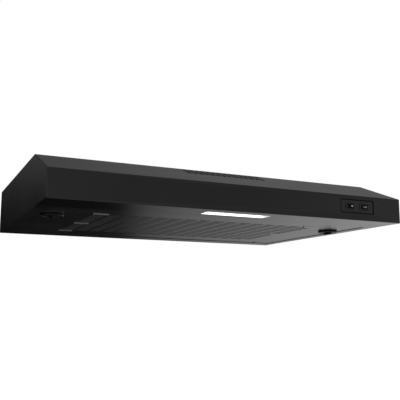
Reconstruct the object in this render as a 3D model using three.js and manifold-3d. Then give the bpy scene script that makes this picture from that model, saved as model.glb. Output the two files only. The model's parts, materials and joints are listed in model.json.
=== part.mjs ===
// Under-cabinet range hood, 30 inch class, black painted sheet steel, convertible
// between ducted and recirculating use. Millimetres. +Z up, -Y is the front.
// Origin: on the top face that meets the cabinet, at the middle of that flat face.

import * as THREE from 'three';
import { mergeVertices } from 'three/addons/utils/BufferGeometryUtils.js';
import Module from 'manifold-3d';

const wasm = await Module();
wasm.setup();

// ---------------------------------------------------------------- driving sizes

const hoodWidth = 760;
const hoodDepth = 558;
const hoodHeight = 101.6;
const fasciaHeight = 52.5;
const slopeDepth = 124;

const sheet = 1.0; // outer panels
const gap = 0.3; // between pieces that touch
const arcSteps = 4;

// underside frame
const lampStripDepth = 90; // fixed strip behind the fascia that carries the lamp
const stripLip = 8;
const sideFlange = 23;
const sideLip = 5;
const rearFlange = 48;
const rearLip = 4;
const rearTopFlange = 8;
const cornerNotch = 2; // between the side flanges and the rear flange

// filter panel, recessed in that frame and hinged along its rear edge
const panelRecess = 1;
const panelGap = 1.5;
const panelRearGap = 5; // in front of the rear flange
const panelFrontLip = 7;
const panelRearLip = 4;
const hingeRise = 7; // hinge line above the panel's top face
const hingeInset = 5; // hinge line in front of the panel's rear edge
const hingeSpan = 300; // tabs, each side of the middle
const hingeTab = 2;
const hingePinRadius = 2;
const hingePlate = 2;

// grille of 16 columns
const grilleColumns = 16;
const columnPitch = 32.3;
const columnWidth = 26;
const grilleRows = 6;
const rowBar = 5;
const grilleFrontMargin = 56; // plain metal in front of the grille
const grilleRearMargin = 63.5; // and behind it

// filters that lie on the panel
const filterMargin = 3; // past the grille
const filterRim = 6;
const meshThickness = 6.6;
const charcoalThickness = 5;
const clipSheet = 1.2;
const clipLength = 20;

// quarter-turn latches
const latchInset = 50; // from the hood's side to the knob's axis
const latchFromFront = 190;
const knobRadius = 22.5;
const knobThickness = 4;
const gripWidth = 9;
const gripLength = 25;
const gripDrop = 3.9;
const latchShaftRadius = 4;
const tongueThickness = 2;
const tongueWidth = 14;
const tongueOverlap = 8; // over the side flange when the latch is turned

// vent slots in the slope
const ventCount = 14; // in each of two rows
const ventPitch = 12.87;
const ventSlotLength = 21;
const ventSlotWidth = 8;
const ventRowPitch = 22.5;
const ventFromTop = 30.5; // down the slope to the middle of both rows

// lamp window and lamp
const lampWindowWidth = 145;
const lampWindowDepth = 38;
const lampWindowFromFront = 25;
const lensRim = 2.5;
const lensDepth = 4.7;
const lensThickness = 1.5;
const lampHousingHeight = 20.7;
const lampHousingWall = 1.5;
const boardThickness = 1.6;
const driverSize = new THREE.Vector3(80, 30, 20);

// switches on the fascia
const switchPlateWidth = 82.4;
const switchPlateHeight = 24.9;
const switchPlateGroove = 2.3; // open all round the plate's face
const switchPlateInset = 115.25; // from the hood's right side to the plate's middle
const switchPlateZ = 29.15; // above the underside
const switchSpacing = 36.5;
const switchFrameWidth = 23.4;
const switchFrameHeight = 14.4;
const switchBodyDepth = 24;
const rockerWidth = 14.6;
const rockerHeight = 9.4;
const rockerTilt = THREE.MathUtils.degToRad(7);

// duct collar for 3 1/4 x 10 inch duct, and its damper
const ductWidth = 254;
const ductDepth = 82.6;
const collarWall = 1.2;
const collarRise = 28;
const collarFlange = 13;
const ductFromBack = 20;
const damperHeight = 9; // hinge line above the cabinet face
const damperPinRadius = 1.5;

// blower
const blowerAxisFromFront = 290;
const blowerHeight = 66;
const blowerWall = 1.2;
const impellerRadius = 85;
const impellerBladeDepth = 13;
const bladeCount = 24;
const scrollClearance = 10;
const scrollGrowth = 30;
const inletRadius = 74;
const motorRadius = 40;
const shaftRadius = 4;

// electrics
const wiringBoxSize = new THREE.Vector3(110, 85, 45);
const wiringBoxFromMiddle = 245;
const glandRadius = 11;
const cableRadius = 6;
const capacitorRadius = 15;
const capacitorLength = 55;
const capacitorFromMiddle = -207;

// ---------------------------------------------------------------- derived places

const right = hoodWidth / 2;
const frontY = -(hoodDepth + slopeDepth) / 2;
const backY = frontY + hoodDepth;
const underZ = -hoodHeight;
const liningZ = -sheet - gap; // just under the top sheet
const slopeAngle = Math.atan2(hoodHeight - fasciaHeight, slopeDepth);
const slopeLength = Math.hypot(hoodHeight - fasciaHeight, slopeDepth);

const rearFlangeY = backY - rearFlange;
const panelBottomZ = underZ + panelRecess;
const panelTopZ = panelBottomZ + sheet;
const panelFrontY = frontY + lampStripDepth + panelGap;
const panelRearY = rearFlangeY - panelRearGap;
const panelHalf = right - sideFlange - panelGap;
const hingeY = panelRearY - hingeInset;
const hingeZ = panelTopZ + hingeRise;

const grilleHalf = (grilleColumns - 1) * columnPitch / 2 + columnWidth / 2;
const grilleFrontY = panelFrontY + grilleFrontMargin;
const grilleRearY = panelRearY - grilleRearMargin;
const filterHalf = grilleHalf + filterMargin;
const filterFrontY = grilleFrontY - filterMargin;
const filterRearY = grilleRearY + filterMargin;
const filterBottomZ = panelTopZ + gap;
const charcoalBottomZ = filterBottomZ + meshThickness + 2 * gap;
const charcoalTopZ = charcoalBottomZ + charcoalThickness;

const latchX = right - latchInset;
const latchY = frontY + latchFromFront;
const tongueBottomZ = underZ + sideLip + gap;
const knobTopZ = panelBottomZ - gap;

const ductY = backY - ductFromBack - ductDepth / 2;
const ductHoleWidth = ductWidth - 2 * collarWall;
const ductHoleDepth = ductDepth - 2 * collarWall;
const damperY = ductY + ductHoleDepth / 2 - 6;

const blowerY = frontY + blowerAxisFromFront;
const blowerTopZ = liningZ;
const blowerBottomZ = blowerTopZ - blowerHeight;

const switchPlateX = right - switchPlateInset;
const switchZ = underZ + switchPlateZ;
const rockerPivotY = frontY + 3;
const lampY = frontY + lampWindowFromFront + lampWindowDepth / 2;
const stripTopZ = underZ + sheet + gap;

const wiringBoxY = ductY;
const capacitorY = ductY;
const capacitorZ = liningZ - capacitorRadius - 2 * gap - 2;

// ---------------------------------------------------------------- materials

function finish(color, roughness, metalness) {
  return new THREE.MeshStandardMaterial({ color, roughness, metalness });
}

const blackPaint = finish(0x1a1a1b, 0.35, 0.3);
const blackPlastic = finish(0x0c0c0c, 0.45, 0);
const galvanised = finish(0xa8adb0, 0.45, 0.9);
const platedSteel = finish(0xc9c9c4, 0.3, 1);
const aluminiumMesh = finish(0xb9bcbe, 0.5, 0.9);
const charcoalFoam = finish(0x202020, 0.95, 0);
const opalLens = finish(0xffffff, 0.4, 0);
const circuitGreen = finish(0x1f5a38, 0.5, 0);
const greyPlastic = finish(0x7d8184, 0.5, 0);
const whiteNylon = finish(0xe6e3da, 0.5, 0);
const wireSleeve = finish(0x2b2b2b, 0.6, 0);

// ---------------------------------------------------------------- shape helpers

const axisX = new THREE.Vector3(1, 0, 0);
const axisY = new THREE.Vector3(0, 1, 0);
const axisZ = new THREE.Vector3(0, 0, 1);

// A shape's own two directions and its extrusion direction, for each axis.
const extrudeDirections = {
  x: [axisY, axisZ, axisX],
  y: [axisX, axisZ, axisY.clone().negate()],
  z: [axisX, axisY, axisZ],
};

function toSolid(geometry) {
  const bare = geometry.clone();
  bare.deleteAttribute('normal');
  bare.deleteAttribute('uv');
  const merged = mergeVertices(bare, 1e-4);
  const corners = merged.index.array;
  const triangles = [];
  for (let i = 0; i < corners.length; i += 3) {
    const [a, b, c] = [corners[i], corners[i + 1], corners[i + 2]];
    if (a !== b && b !== c && c !== a) {
      triangles.push(a, b, c);
    }
  }
  return new wasm.Manifold(new wasm.Mesh({
    numProp: 3,
    vertProperties: Float32Array.from(merged.attributes.position.array),
    triVerts: Uint32Array.from(triangles),
  }));
}

function toGeometry(solid) {
  const mesh = solid.getMesh();
  const geometry = new THREE.BufferGeometry();
  geometry.setAttribute('position', new THREE.BufferAttribute(mesh.vertProperties, 3));
  geometry.setIndex(new THREE.BufferAttribute(mesh.triVerts, 1));
  geometry.computeVertexNormals();
  return geometry;
}

function join(first, ...others) {
  return others.reduce((whole, other) => whole.add(other), first);
}

function cut(base, ...tools) {
  return tools.reduce((whole, tool) => whole.subtract(tool), base);
}

function polygon(points) {
  return new THREE.Shape(points.map(([u, v]) => new THREE.Vector2(u, v)));
}

function rectangle(uMiddle, vMiddle, width, height) {
  const [u, v] = [width / 2, height / 2];
  return polygon([
    [uMiddle - u, vMiddle - v], [uMiddle + u, vMiddle - v],
    [uMiddle + u, vMiddle + v], [uMiddle - u, vMiddle + v],
  ]);
}

function circle(u, v, radius) {
  const shape = new THREE.Shape();
  shape.absarc(u, v, radius, 0, 2 * Math.PI, false);
  return shape;
}

function roundedRectangle(uMiddle, vMiddle, width, height, radius) {
  const [u, v] = [width / 2 - radius, height / 2 - radius];
  const shape = new THREE.Shape();
  shape.absarc(uMiddle + u, vMiddle - v, radius, -Math.PI / 2, 0, false);
  shape.absarc(uMiddle + u, vMiddle + v, radius, 0, Math.PI / 2, false);
  shape.absarc(uMiddle - u, vMiddle + v, radius, Math.PI / 2, Math.PI, false);
  shape.absarc(uMiddle - u, vMiddle - v, radius, Math.PI, 1.5 * Math.PI, false);
  return shape;
}

function extrude(shape, depth, steps = arcSteps) {
  return new THREE.ExtrudeGeometry(shape, { depth, bevelEnabled: false, curveSegments: steps });
}

// A shape in the plane across an axis, extruded along it from start to end.
function prism(shape, axis, start, end, steps = arcSteps) {
  const directions = extrudeDirections[axis];
  const from = axis === 'y' ? -end : start;
  const placing = new THREE.Matrix4().makeBasis(...directions);
  placing.setPosition(directions[2].clone().multiplyScalar(from));
  return toSolid(extrude(shape, end - start, steps).applyMatrix4(placing));
}

function block(x0, x1, y0, y1, z0, z1) {
  const geometry = new THREE.BoxGeometry(x1 - x0, y1 - y0, z1 - z0);
  geometry.translate((x0 + x1) / 2, (y0 + y1) / 2, (z0 + z1) / 2);
  return toSolid(geometry);
}

// A block given by two distances from the middle plane, on the left (-1) or right (1).
function sideBlock(side, inner, outer, y0, y1, z0, z1) {
  const [x0, x1] = [side * inner, side * outer].sort((a, b) => a - b);
  return block(x0, x1, y0, y1, z0, z1);
}

function rod(radius, axis, start, end, u, v, steps = 8) {
  return prism(circle(u, v, radius), axis, start, end, steps);
}

// A side rod runs along X between two distances from the middle plane.
function sideRod(side, radius, inner, outer, y, z) {
  const [x0, x1] = [side * inner, side * outer].sort((a, b) => a - b);
  return rod(radius, 'x', x0, x1, y, z);
}

// Turned about a vertical axis; the profile lists radius and height, going up outside.
function turned(profile, x, y, segments = 24) {
  const points = profile.map(([radius, z]) => new THREE.Vector2(radius, z));
  const geometry = new THREE.LatheGeometry(points, segments);
  geometry.rotateX(Math.PI / 2);
  geometry.translate(x, y, 0);
  return toSolid(geometry);
}

function ring(innerRadius, outerRadius, z0, z1, x, y, segments) {
  const profile = [
    [innerRadius, z0], [outerRadius, z0], [outerRadius, z1], [innerRadius, z1], [innerRadius, z0],
  ];
  return turned(profile, x, y, segments);
}

// Corners of a line moved sideways, to its right, by a distance.
function offsetCorners(points, distance, closed) {
  const count = points.length;
  const normalOf = (index) => {
    const [u0, v0] = points[(index + count) % count];
    const [u1, v1] = points[(index + 1) % count];
    return new THREE.Vector2(v1 - v0, u0 - u1).normalize();
  };
  return points.map(([u, v], index) => {
    const atStart = !closed && index === 0;
    const atEnd = !closed && index === count - 1;
    const before = atStart ? normalOf(index) : normalOf(index - 1);
    const after = atEnd ? before : normalOf(index);
    const reach = distance / (1 + before.dot(after));
    return [u + (before.x + after.x) * reach, v + (before.y + after.y) * reach];
  });
}

// The cross-section of a sheet bent along a line, with its thickness on the right.
function bentSection(path) {
  return polygon([...path, ...offsetCorners(path, sheet, false).reverse()]);
}

const hood = new THREE.Group();

function addPart(name, solid, material) {
  const mesh = new THREE.Mesh(toGeometry(solid), material);
  mesh.name = name;
  hood.add(mesh);
}

// A pan-head screw pointing up (direction 1) or down (-1), with its head's seat at seatZ.
function screw(x, y, seatZ, tipZ, shankRadius, headRadius, headHeight, direction) {
  const profile = [
    [0, seatZ - direction * headHeight], [headRadius * 0.8, seatZ - direction * headHeight],
    [headRadius, seatZ - direction * headHeight * 0.6], [headRadius, seatZ],
    [shankRadius, seatZ], [shankRadius, tipZ], [0, tipZ],
  ];
  return turned(direction > 0 ? profile : profile.reverse(), x, y, 12);
}

const screwShank = 2;
const screwHole = screwShank + gap;
const screwHead = 4;
const screwHeadHeight = 2.7;

// ---------------------------------------------------------------- outer sheet metal

const shellPath = [
  [frontY + lampStripDepth, underZ],
  [frontY, underZ],
  [frontY, underZ + fasciaHeight],
  [frontY + slopeDepth, 0],
  [backY, 0],
];

const collarScrewPlaces = [-1, 1].flatMap((sideX) => [-1, 1].map((sideY) => [
  sideX * (ductWidth + collarFlange) / 2,
  ductY + sideY * (ductDepth + collarFlange) / 2,
]));

const earReach = 18;
const earWidth = 20;
const earThickness = 2;
const earScrewInset = 9;
const diffuserHalf = ductWidth / 2 + 2;
const frontEarX = 70;
const frontEarY = blowerY - impellerRadius - scrollClearance - scrollGrowth;
const blowerScrewPlaces = [
  [-frontEarX, frontEarY + earScrewInset / 2],
  [frontEarX, frontEarY + earScrewInset / 2],
  [-diffuserHalf - earScrewInset, ductY],
  [diffuserHalf + earScrewInset, ductY],
];

const groundScrewPlace = [wiringBoxFromMiddle + 38, wiringBoxY - 28];

function keyhole(x, y) {
  const wide = rod(4.5, 'z', -2 * sheet, sheet, x, y);
  const narrow = block(x - 2.4, x + 2.4, y - 14, y, -2 * sheet, sheet);
  return join(wide, narrow);
}

// Rounded slots that run up the slope, in two rows, one above the other.
function ventSlots() {
  const along = new THREE.Vector3(0, Math.cos(slopeAngle), Math.sin(slopeAngle));
  const outward = new THREE.Vector3().crossVectors(axisX, along);
  const placing = new THREE.Matrix4().makeBasis(axisX, along, outward);
  placing.setPosition(0, frontY, underZ + fasciaHeight);
  const middle = slopeLength - ventFromTop;
  const slots = [];
  for (const row of [-0.5, 0.5]) {
    for (let i = 0; i < ventCount; i += 1) {
      const x = (i - (ventCount - 1) / 2) * ventPitch;
      const slot = roundedRectangle(
        x, middle + row * ventRowPitch, ventSlotWidth, ventSlotLength, ventSlotWidth / 2 - 0.01,
      );
      const tool = extrude(slot, 6 * sheet, 1);
      tool.translate(0, 0, -3 * sheet);
      slots.push(toSolid(tool.applyMatrix4(placing)));
    }
  }
  return slots;
}

function hoodShell() {
  const bent = prism(bentSection(shellPath), 'x', -right, right);
  const lipHalf = right - sheet - 2 * gap;
  const lipY = frontY + lampStripDepth;
  const lip = block(-lipHalf, lipHalf, lipY - sheet, lipY, underZ, underZ + stripLip);
  const lampWindow = prism(
    rectangle(0, lampY, lampWindowWidth, lampWindowDepth), 'z', underZ - sheet, underZ + 2 * sheet,
  );
  const switchWindow = prism(
    roundedRectangle(
      switchPlateX, switchZ, switchPlateWidth + 2 * switchPlateGroove,
      switchPlateHeight + 2 * switchPlateGroove, 4,
    ), 'y', frontY - sheet, frontY + 2 * sheet,
  );
  const ductHole = block(
    -ductHoleWidth / 2, ductHoleWidth / 2, ductY - ductHoleDepth / 2, ductY + ductHoleDepth / 2,
    -2 * sheet, sheet,
  );
  const cableHole = rod(glandRadius + gap, 'z', -2 * sheet, sheet, wiringBoxFromMiddle, wiringBoxY);
  const screwHoles = [...collarScrewPlaces, ...blowerScrewPlaces, groundScrewPlace].map(
    ([x, y]) => rod(screwHole, 'z', -2 * sheet, sheet, x, y, 6),
  );
  const keyholes = [-1, 1].flatMap((side) => [
    keyhole(side * (right - 45), frontY + slopeDepth + 40),
    keyhole(side * (right - 45), backY - 35),
  ]);
  return cut(
    join(bent, lip), lampWindow, switchWindow, ductHole, cableHole,
    ...screwHoles, ...keyholes, ...ventSlots(),
  );
}

function sidePanel(side) {
  const stripBackY = frontY + lampStripDepth + gap;
  const inner = offsetCorners(shellPath, sheet + gap, false);
  const outline = [
    [stripBackY, underZ], [stripBackY, underZ + sheet + gap], ...inner.slice(1), [backY, underZ],
  ];
  const [x0, x1] = [side * (right - sheet), side * right].sort((a, b) => a - b);
  const wall = prism(polygon(outline), 'x', x0, x1);
  const flangeEnd = rearFlangeY - cornerNotch;
  const flangeInner = right - sideFlange;
  const flange = sideBlock(side, flangeInner, right, stripBackY, flangeEnd, underZ, underZ + sheet);
  const lip = sideBlock(
    side, flangeInner, flangeInner + sheet, stripBackY, flangeEnd, underZ, underZ + sideLip,
  );
  return join(wall, flange, lip);
}

function rearPanel() {
  const half = right - sheet - gap;
  const path = [
    [backY - rearTopFlange, liningZ], [backY, liningZ], [backY, underZ],
    [rearFlangeY, underZ], [rearFlangeY, underZ + rearLip],
  ];
  return prism(bentSection(path), 'x', -half, half);
}

function addOuterPanels() {
  addPart('hood_shell', hoodShell(), blackPaint);
  addPart('left_side_panel', sidePanel(-1), blackPaint);
  addPart('right_side_panel', sidePanel(1), blackPaint);
  addPart('rear_panel', rearPanel(), blackPaint);
}

// ---------------------------------------------------------------- duct collar and damper

function ductCollar() {
  const wide = ductWidth + 2 * collarFlange;
  const deep = ductDepth + 2 * collarFlange;
  const flange = prism(rectangle(0, ductY, wide, deep), 'z', gap, gap + collarWall);
  const neck = prism(rectangle(0, ductY, ductWidth, ductDepth), 'z', gap, collarRise);
  const passage = prism(rectangle(0, ductY, ductHoleWidth, ductHoleDepth), 'z', 0, collarRise + 1);
  const holes = collarScrewPlaces.map(([x, y]) => rod(screwHole, 'z', 0, 2 * collarWall, x, y, 6));
  const pinHole = rod(damperPinRadius + gap, 'x', -ductWidth, ductWidth, damperY, damperHeight);
  return cut(join(flange, neck), passage, pinHole, ...holes);
}

function damperFlap() {
  const half = ductHoleWidth / 2 - 2;
  const frontEdge = ductY - ductHoleDepth / 2 + 2;
  const leaf = block(-half, half, frontEdge, damperY, damperHeight - 0.5, damperHeight + 0.5);
  const sleeve = rod(damperPinRadius + gap + 1, 'x', -half, half, damperY, damperHeight);
  const bore = rod(damperPinRadius + gap, 'x', -half - 1, half + 1, damperY, damperHeight);
  return cut(join(leaf, sleeve), bore);
}

function addDuct() {
  addPart('duct_collar', ductCollar(), galvanised);
  const pinHalf = ductWidth / 2 + 2;
  addPart('damper_pin', rod(damperPinRadius, 'x', -pinHalf, pinHalf, damperY, damperHeight), platedSteel);
  addPart('damper_flap', damperFlap(), galvanised);
  collarScrewPlaces.forEach(([x, y], index) => {
    const solid = screw(
      x, y, 2 * gap + collarWall, -4, screwShank, screwHead, screwHeadHeight, -1,
    );
    addPart(`collar_screw_${index + 1}`, solid, platedSteel);
  });
}

// ---------------------------------------------------------------- blower

// The scroll grows from its cut-off round to the outlet side.
function scrollOutline() {
  const points = [];
  const steps = 30;
  const cutOff = Math.PI / 3;
  for (let i = 0; i <= steps; i += 1) {
    const share = i / steps;
    const angle = cutOff + share * (2 * Math.PI - cutOff);
    const radius = impellerRadius + scrollClearance + share * scrollGrowth;
    points.push([radius * Math.cos(angle), blowerY + radius * Math.sin(angle)]);
  }
  return points;
}

function diffuserOutline() {
  const widest = impellerRadius + scrollClearance + scrollGrowth;
  const ductFrontY = ductY - ductDepth / 2 - 2;
  const ductRearY = ductY + ductDepth / 2 + 2;
  return [
    [impellerRadius * 0.7, blowerY + impellerRadius * 0.47],
    [Math.min(widest, diffuserHalf - 1), blowerY],
    [diffuserHalf, ductFrontY], [diffuserHalf, ductRearY],
    [-diffuserHalf, ductRearY], [-diffuserHalf, ductFrontY],
  ];
}

function blowerVolume(inset, z0, z1) {
  const outlines = [scrollOutline(), diffuserOutline()].map(
    (outline) => offsetCorners(outline, -inset, true),
  );
  return join(...outlines.map((outline) => prism(polygon(outline), 'z', z0, z1)));
}

function blowerHousing() {
  const outside = blowerVolume(0, blowerBottomZ, blowerTopZ);
  const inside = blowerVolume(blowerWall, blowerBottomZ + blowerWall, blowerTopZ - blowerWall);
  const earBottomZ = blowerTopZ - earThickness;
  const frontEars = [-1, 1].map((side) => sideBlock(
    side, frontEarX - earWidth / 2, frontEarX + earWidth / 2,
    frontEarY - earWidth / 4, frontEarY + earWidth * 2, earBottomZ, blowerTopZ,
  ));
  const sideEars = [-1, 1].map((side) => sideBlock(
    side, diffuserHalf - blowerWall, diffuserHalf + earReach,
    ductY - earWidth / 2, ductY + earWidth / 2, earBottomZ, blowerTopZ,
  ));
  const inlet = rod(inletRadius, 'z', blowerBottomZ - 1, blowerBottomZ + 2 * blowerWall, 0, blowerY, 12);
  const outlet = block(
    -ductHoleWidth / 2, ductHoleWidth / 2, ductY - ductHoleDepth / 2, ductY + ductHoleDepth / 2,
    blowerTopZ - 2 * blowerWall, blowerTopZ + 1,
  );
  const holes = blowerScrewPlaces.map(
    ([x, y]) => rod(screwHole, 'z', blowerTopZ - 2 * earThickness, blowerTopZ + 1, x, y, 6),
  );
  return cut(join(cut(outside, inside), ...frontEars, ...sideEars), inlet, outlet, ...holes);
}

const inletRimZ = blowerBottomZ - gap;

function inletRing() {
  const neckRadius = inletRadius - 2;
  const profile = [
    [neckRadius - 1.2, inletRimZ - 0.4], [neckRadius + 2, inletRimZ - 1.8],
    [inletRadius + 14, inletRimZ - 1.8], [inletRadius + 14, inletRimZ],
    [neckRadius + 1, inletRimZ], [neckRadius, inletRimZ + 4.5], [neckRadius - 1.2, inletRimZ + 4.5],
    [neckRadius - 1.2, inletRimZ - 0.4],
  ];
  return turned(profile, 0, blowerY, 24);
}

const impellerBottomZ = blowerBottomZ + 6;
const impellerTopZ = blowerTopZ - 10;
const bladeRing = 2;
const hubBottomZ = impellerBottomZ + 10;
const cupBottomZ = hubBottomZ + 5;
const cupRadius = motorRadius + 6;
const motorTopZ = blowerTopZ - blowerWall - 2.4;
const bracketThickness = 1.8;

function blade(index) {
  const inner = impellerRadius - impellerBladeDepth + 0.5;
  const middle = impellerRadius - impellerBladeDepth / 2;
  const outer = impellerRadius - 0.5;
  const spoke = (radius, turn, thickness) => {
    const angle = turn + thickness / radius;
    return [radius * Math.cos(angle), blowerY + radius * Math.sin(angle)];
  };
  const start = index * 2 * Math.PI / bladeCount;
  const stations = [[inner, start], [middle, start + 0.05], [outer, start + 0.14]];
  const front = stations.map(([radius, turn]) => spoke(radius, turn, 0));
  const back = stations.map(([radius, turn]) => spoke(radius, turn, 1.1)).reverse();
  return prism(
    polygon([...front, ...back]), 'z', impellerBottomZ + bladeRing / 2, impellerTopZ - bladeRing / 2,
  );
}

function impeller() {
  const bore = shaftRadius + gap;
  const shoulderZ = impellerTopZ - bladeRing;
  const cup = turned([
    [bore, hubBottomZ], [12, hubBottomZ], [12, cupBottomZ], [cupRadius, cupBottomZ],
    [cupRadius + 15, shoulderZ], [impellerRadius, shoulderZ], [impellerRadius, impellerTopZ],
    [cupRadius + 14, impellerTopZ], [cupRadius - 1, cupBottomZ + 2], [bore, cupBottomZ + 2],
    [bore, hubBottomZ],
  ], 0, blowerY, 24);
  const lowerRing = ring(
    impellerRadius - impellerBladeDepth, impellerRadius,
    impellerBottomZ, impellerBottomZ + bladeRing, 0, blowerY, 24,
  );
  const blades = Array.from({ length: bladeCount }, (_, index) => blade(index));
  return join(cup, lowerRing, ...blades);
}

function motorBody() {
  const bore = shaftRadius + 2 * gap;
  const bottomZ = cupBottomZ + 5;
  return turned([
    [0, motorTopZ - 3], [bore, motorTopZ - 3], [bore, bottomZ], [motorRadius * 0.7, bottomZ],
    [motorRadius, bottomZ + 4], [motorRadius, motorTopZ - 4], [motorRadius * 0.85, motorTopZ],
    [0, motorTopZ],
  ], 0, blowerY, 24);
}

function addBlower() {
  addPart('blower_housing', blowerHousing(), galvanised);
  addPart('inlet_ring', inletRing(), blackPlastic);
  addPart('impeller', impeller(), whiteNylon);
  addPart('motor_body', motorBody(), galvanised);
  const plateHalf = motorRadius + 12;
  const plateZ = motorTopZ + gap;
  const plate = prism(
    roundedRectangle(0, blowerY, 2 * plateHalf, 2 * plateHalf, 12), 'z', plateZ, plateZ + bracketThickness,
  );
  addPart('motor_bracket', plate, platedSteel);
  const shaft = rod(shaftRadius, 'z', hubBottomZ - 6, motorTopZ - 3 - gap, 0, blowerY);
  addPart('motor_shaft', shaft, platedSteel);
  const nut = cut(
    rod(7.5, 'z', hubBottomZ - gap - 4.2, hubBottomZ - gap, 0, blowerY, 3),
    rod(shaftRadius + gap, 'z', hubBottomZ - 8, hubBottomZ + 1, 0, blowerY),
  );
  addPart('shaft_nut', nut, platedSteel);
  blowerScrewPlaces.forEach(([x, y], index) => {
    const seatZ = blowerTopZ - earThickness - gap;
    const solid = screw(x, y, seatZ, -gap, screwShank, screwHead, screwHeadHeight, 1);
    addPart(`blower_screw_${index + 1}`, solid, platedSteel);
  });
}

// ---------------------------------------------------------------- lamp

function lampLens() {
  const half = lampWindowWidth / 2;
  const [y0, y1] = [lampY - lampWindowDepth / 2, lampY + lampWindowDepth / 2];
  const outside = block(
    -half - lensRim, half + lensRim, y0 - lensRim, y1 + lensRim, stripTopZ, stripTopZ + lensDepth,
  );
  const recess = block(-half, half, y0, y1, stripTopZ - 1, stripTopZ + lensDepth - lensThickness);
  return cut(outside, recess);
}

function lampHousing() {
  const halfWidth = lampWindowWidth / 2 + lensRim + 2 * gap;
  const halfDepth = lampWindowDepth / 2 + lensRim + 2 * gap;
  const wall = lampHousingWall;
  const topZ = stripTopZ + lampHousingHeight;
  const outside = block(
    -halfWidth - wall, halfWidth + wall, lampY - halfDepth - wall, lampY + halfDepth + wall,
    stripTopZ, topZ,
  );
  const inside = block(
    -halfWidth, halfWidth, lampY - halfDepth, lampY + halfDepth, stripTopZ - 1, topZ - wall,
  );
  return cut(outside, inside);
}

const driverX = lampWindowWidth / 2 + 24;

function addLamp() {
  addPart('lamp_lens', lampLens(), opalLens);
  addPart('lamp_housing', lampHousing(), whiteNylon);
  const boardTopZ = stripTopZ + lampHousingHeight - lampHousingWall - gap;
  const boardHalf = lampWindowWidth / 2 - 2;
  const boardDepth = lampWindowDepth / 2 - 5;
  addPart('lamp_board', block(
    -boardHalf, boardHalf, lampY - boardDepth, lampY + boardDepth,
    boardTopZ - boardThickness, boardTopZ,
  ), circuitGreen);
  addPart('lamp_driver', block(
    driverX, driverX + driverSize.x, lampY - driverSize.y / 2, lampY + driverSize.y / 2,
    stripTopZ, stripTopZ + driverSize.z,
  ), greyPlastic);
}

// ---------------------------------------------------------------- switches

const lightSwitchX = switchPlateX - switchSpacing / 2;
const fanSwitchX = switchPlateX + switchSpacing / 2;

function switchPlate() {
  const face = prism(
    roundedRectangle(switchPlateX, switchZ, switchPlateWidth, switchPlateHeight, 3),
    'y', frontY + 0.4, frontY + 2,
  );
  const backing = prism(
    rectangle(switchPlateX, switchZ, switchPlateWidth + 9, switchPlateHeight + 9),
    'y', frontY + sheet + gap, frontY + sheet + gap + 1.5,
  );
  const windows = [lightSwitchX, fanSwitchX].map((x) => prism(
    rectangle(x, switchZ, switchFrameWidth + 2 * gap, switchFrameHeight + 2 * gap),
    'y', frontY - 1, frontY + 4,
  ));
  return cut(join(face, backing), ...windows);
}

function switchBody(x) {
  const body = prism(
    roundedRectangle(x, switchZ, switchFrameWidth, switchFrameHeight, 1),
    'y', frontY - 0.6, frontY + switchBodyDepth,
  );
  const well = prism(
    rectangle(x, switchZ, rockerWidth + 2, rockerHeight + 1.2), 'y', frontY - 2, frontY + 12,
  );
  return cut(body, well);
}

// The rocker tips about an upright axis; its plan outline is given about that axis.
function rocker(x, tilt) {
  const half = rockerWidth / 2;
  const outline = [
    [-half, -4.6], [0, -3.9], [half, -4.6], [half, 0.2], [half * 0.55, 5], [-half * 0.55, 5],
    [-half, 0.2],
  ];
  const geometry = extrude(polygon(outline), rockerHeight);
  geometry.rotateZ(tilt);
  geometry.translate(x, rockerPivotY, switchZ - rockerHeight / 2);
  return toSolid(geometry);
}

function addSwitches() {
  addPart('switch_plate', switchPlate(), blackPlastic);
  addPart('light_switch_body', switchBody(lightSwitchX), blackPlastic);
  addPart('fan_switch_body', switchBody(fanSwitchX), blackPlastic);
  addPart('light_rocker', rocker(lightSwitchX, -rockerTilt), blackPlastic);
  addPart('fan_rocker', rocker(fanSwitchX, 0), blackPlastic);
}

// ---------------------------------------------------------------- electrics

const boxWall = 1.2;
const boxBottomZ = liningZ - wiringBoxSize.z;
const [boxLeft, boxRight] = [-0.5, 0.5].map((share) => wiringBoxFromMiddle + share * wiringBoxSize.x);
const [boxFront, boxRear] = [-0.5, 0.5].map((share) => wiringBoxY + share * wiringBoxSize.y);
const coverScrewPlace = [boxLeft + boxWall + 5, boxFront + boxWall + 5];
const leadHoleZ = liningZ - 12;
const switchLeadX = wiringBoxFromMiddle + 18;
const lampLeadX = wiringBoxFromMiddle - 18;
const leadRadius = 3;

function wiringBox() {
  const outside = block(boxLeft, boxRight, boxFront, boxRear, boxBottomZ, liningZ);
  const inside = block(
    boxLeft + boxWall, boxRight - boxWall, boxFront + boxWall, boxRear - boxWall,
    boxBottomZ - 1, liningZ - boxWall,
  );
  const boss = block(boxLeft, boxLeft + 11, boxFront, boxFront + 11, boxBottomZ, boxBottomZ + 12);
  const bossHole = rod(1.8, 'z', boxBottomZ - 1, boxBottomZ + 10, ...coverScrewPlace, 6);
  const cableHole = rod(
    glandRadius + gap, 'z', liningZ - 2 * boxWall, liningZ + 1, wiringBoxFromMiddle, wiringBoxY,
  );
  const groundHole = rod(screwHole, 'z', liningZ - 2 * boxWall, liningZ + 1, ...groundScrewPlace, 6);
  const leadHoles = [switchLeadX, lampLeadX].map(
    (x) => rod(leadRadius + 2 * gap, 'y', boxFront - 1, boxFront + 2 * boxWall, x, leadHoleZ),
  );
  return cut(join(cut(outside, inside), boss), bossHole, cableHole, groundHole, ...leadHoles);
}

function cableGland() {
  const bore = cableRadius;
  return turned([
    [bore, liningZ - 8], [glandRadius, liningZ - 8], [glandRadius, gap], [glandRadius + 5, gap],
    [glandRadius + 5, 3.3], [glandRadius + 1, 5], [bore, 5], [bore, liningZ - 8],
  ], wiringBoxFromMiddle, wiringBoxY);
}

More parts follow.
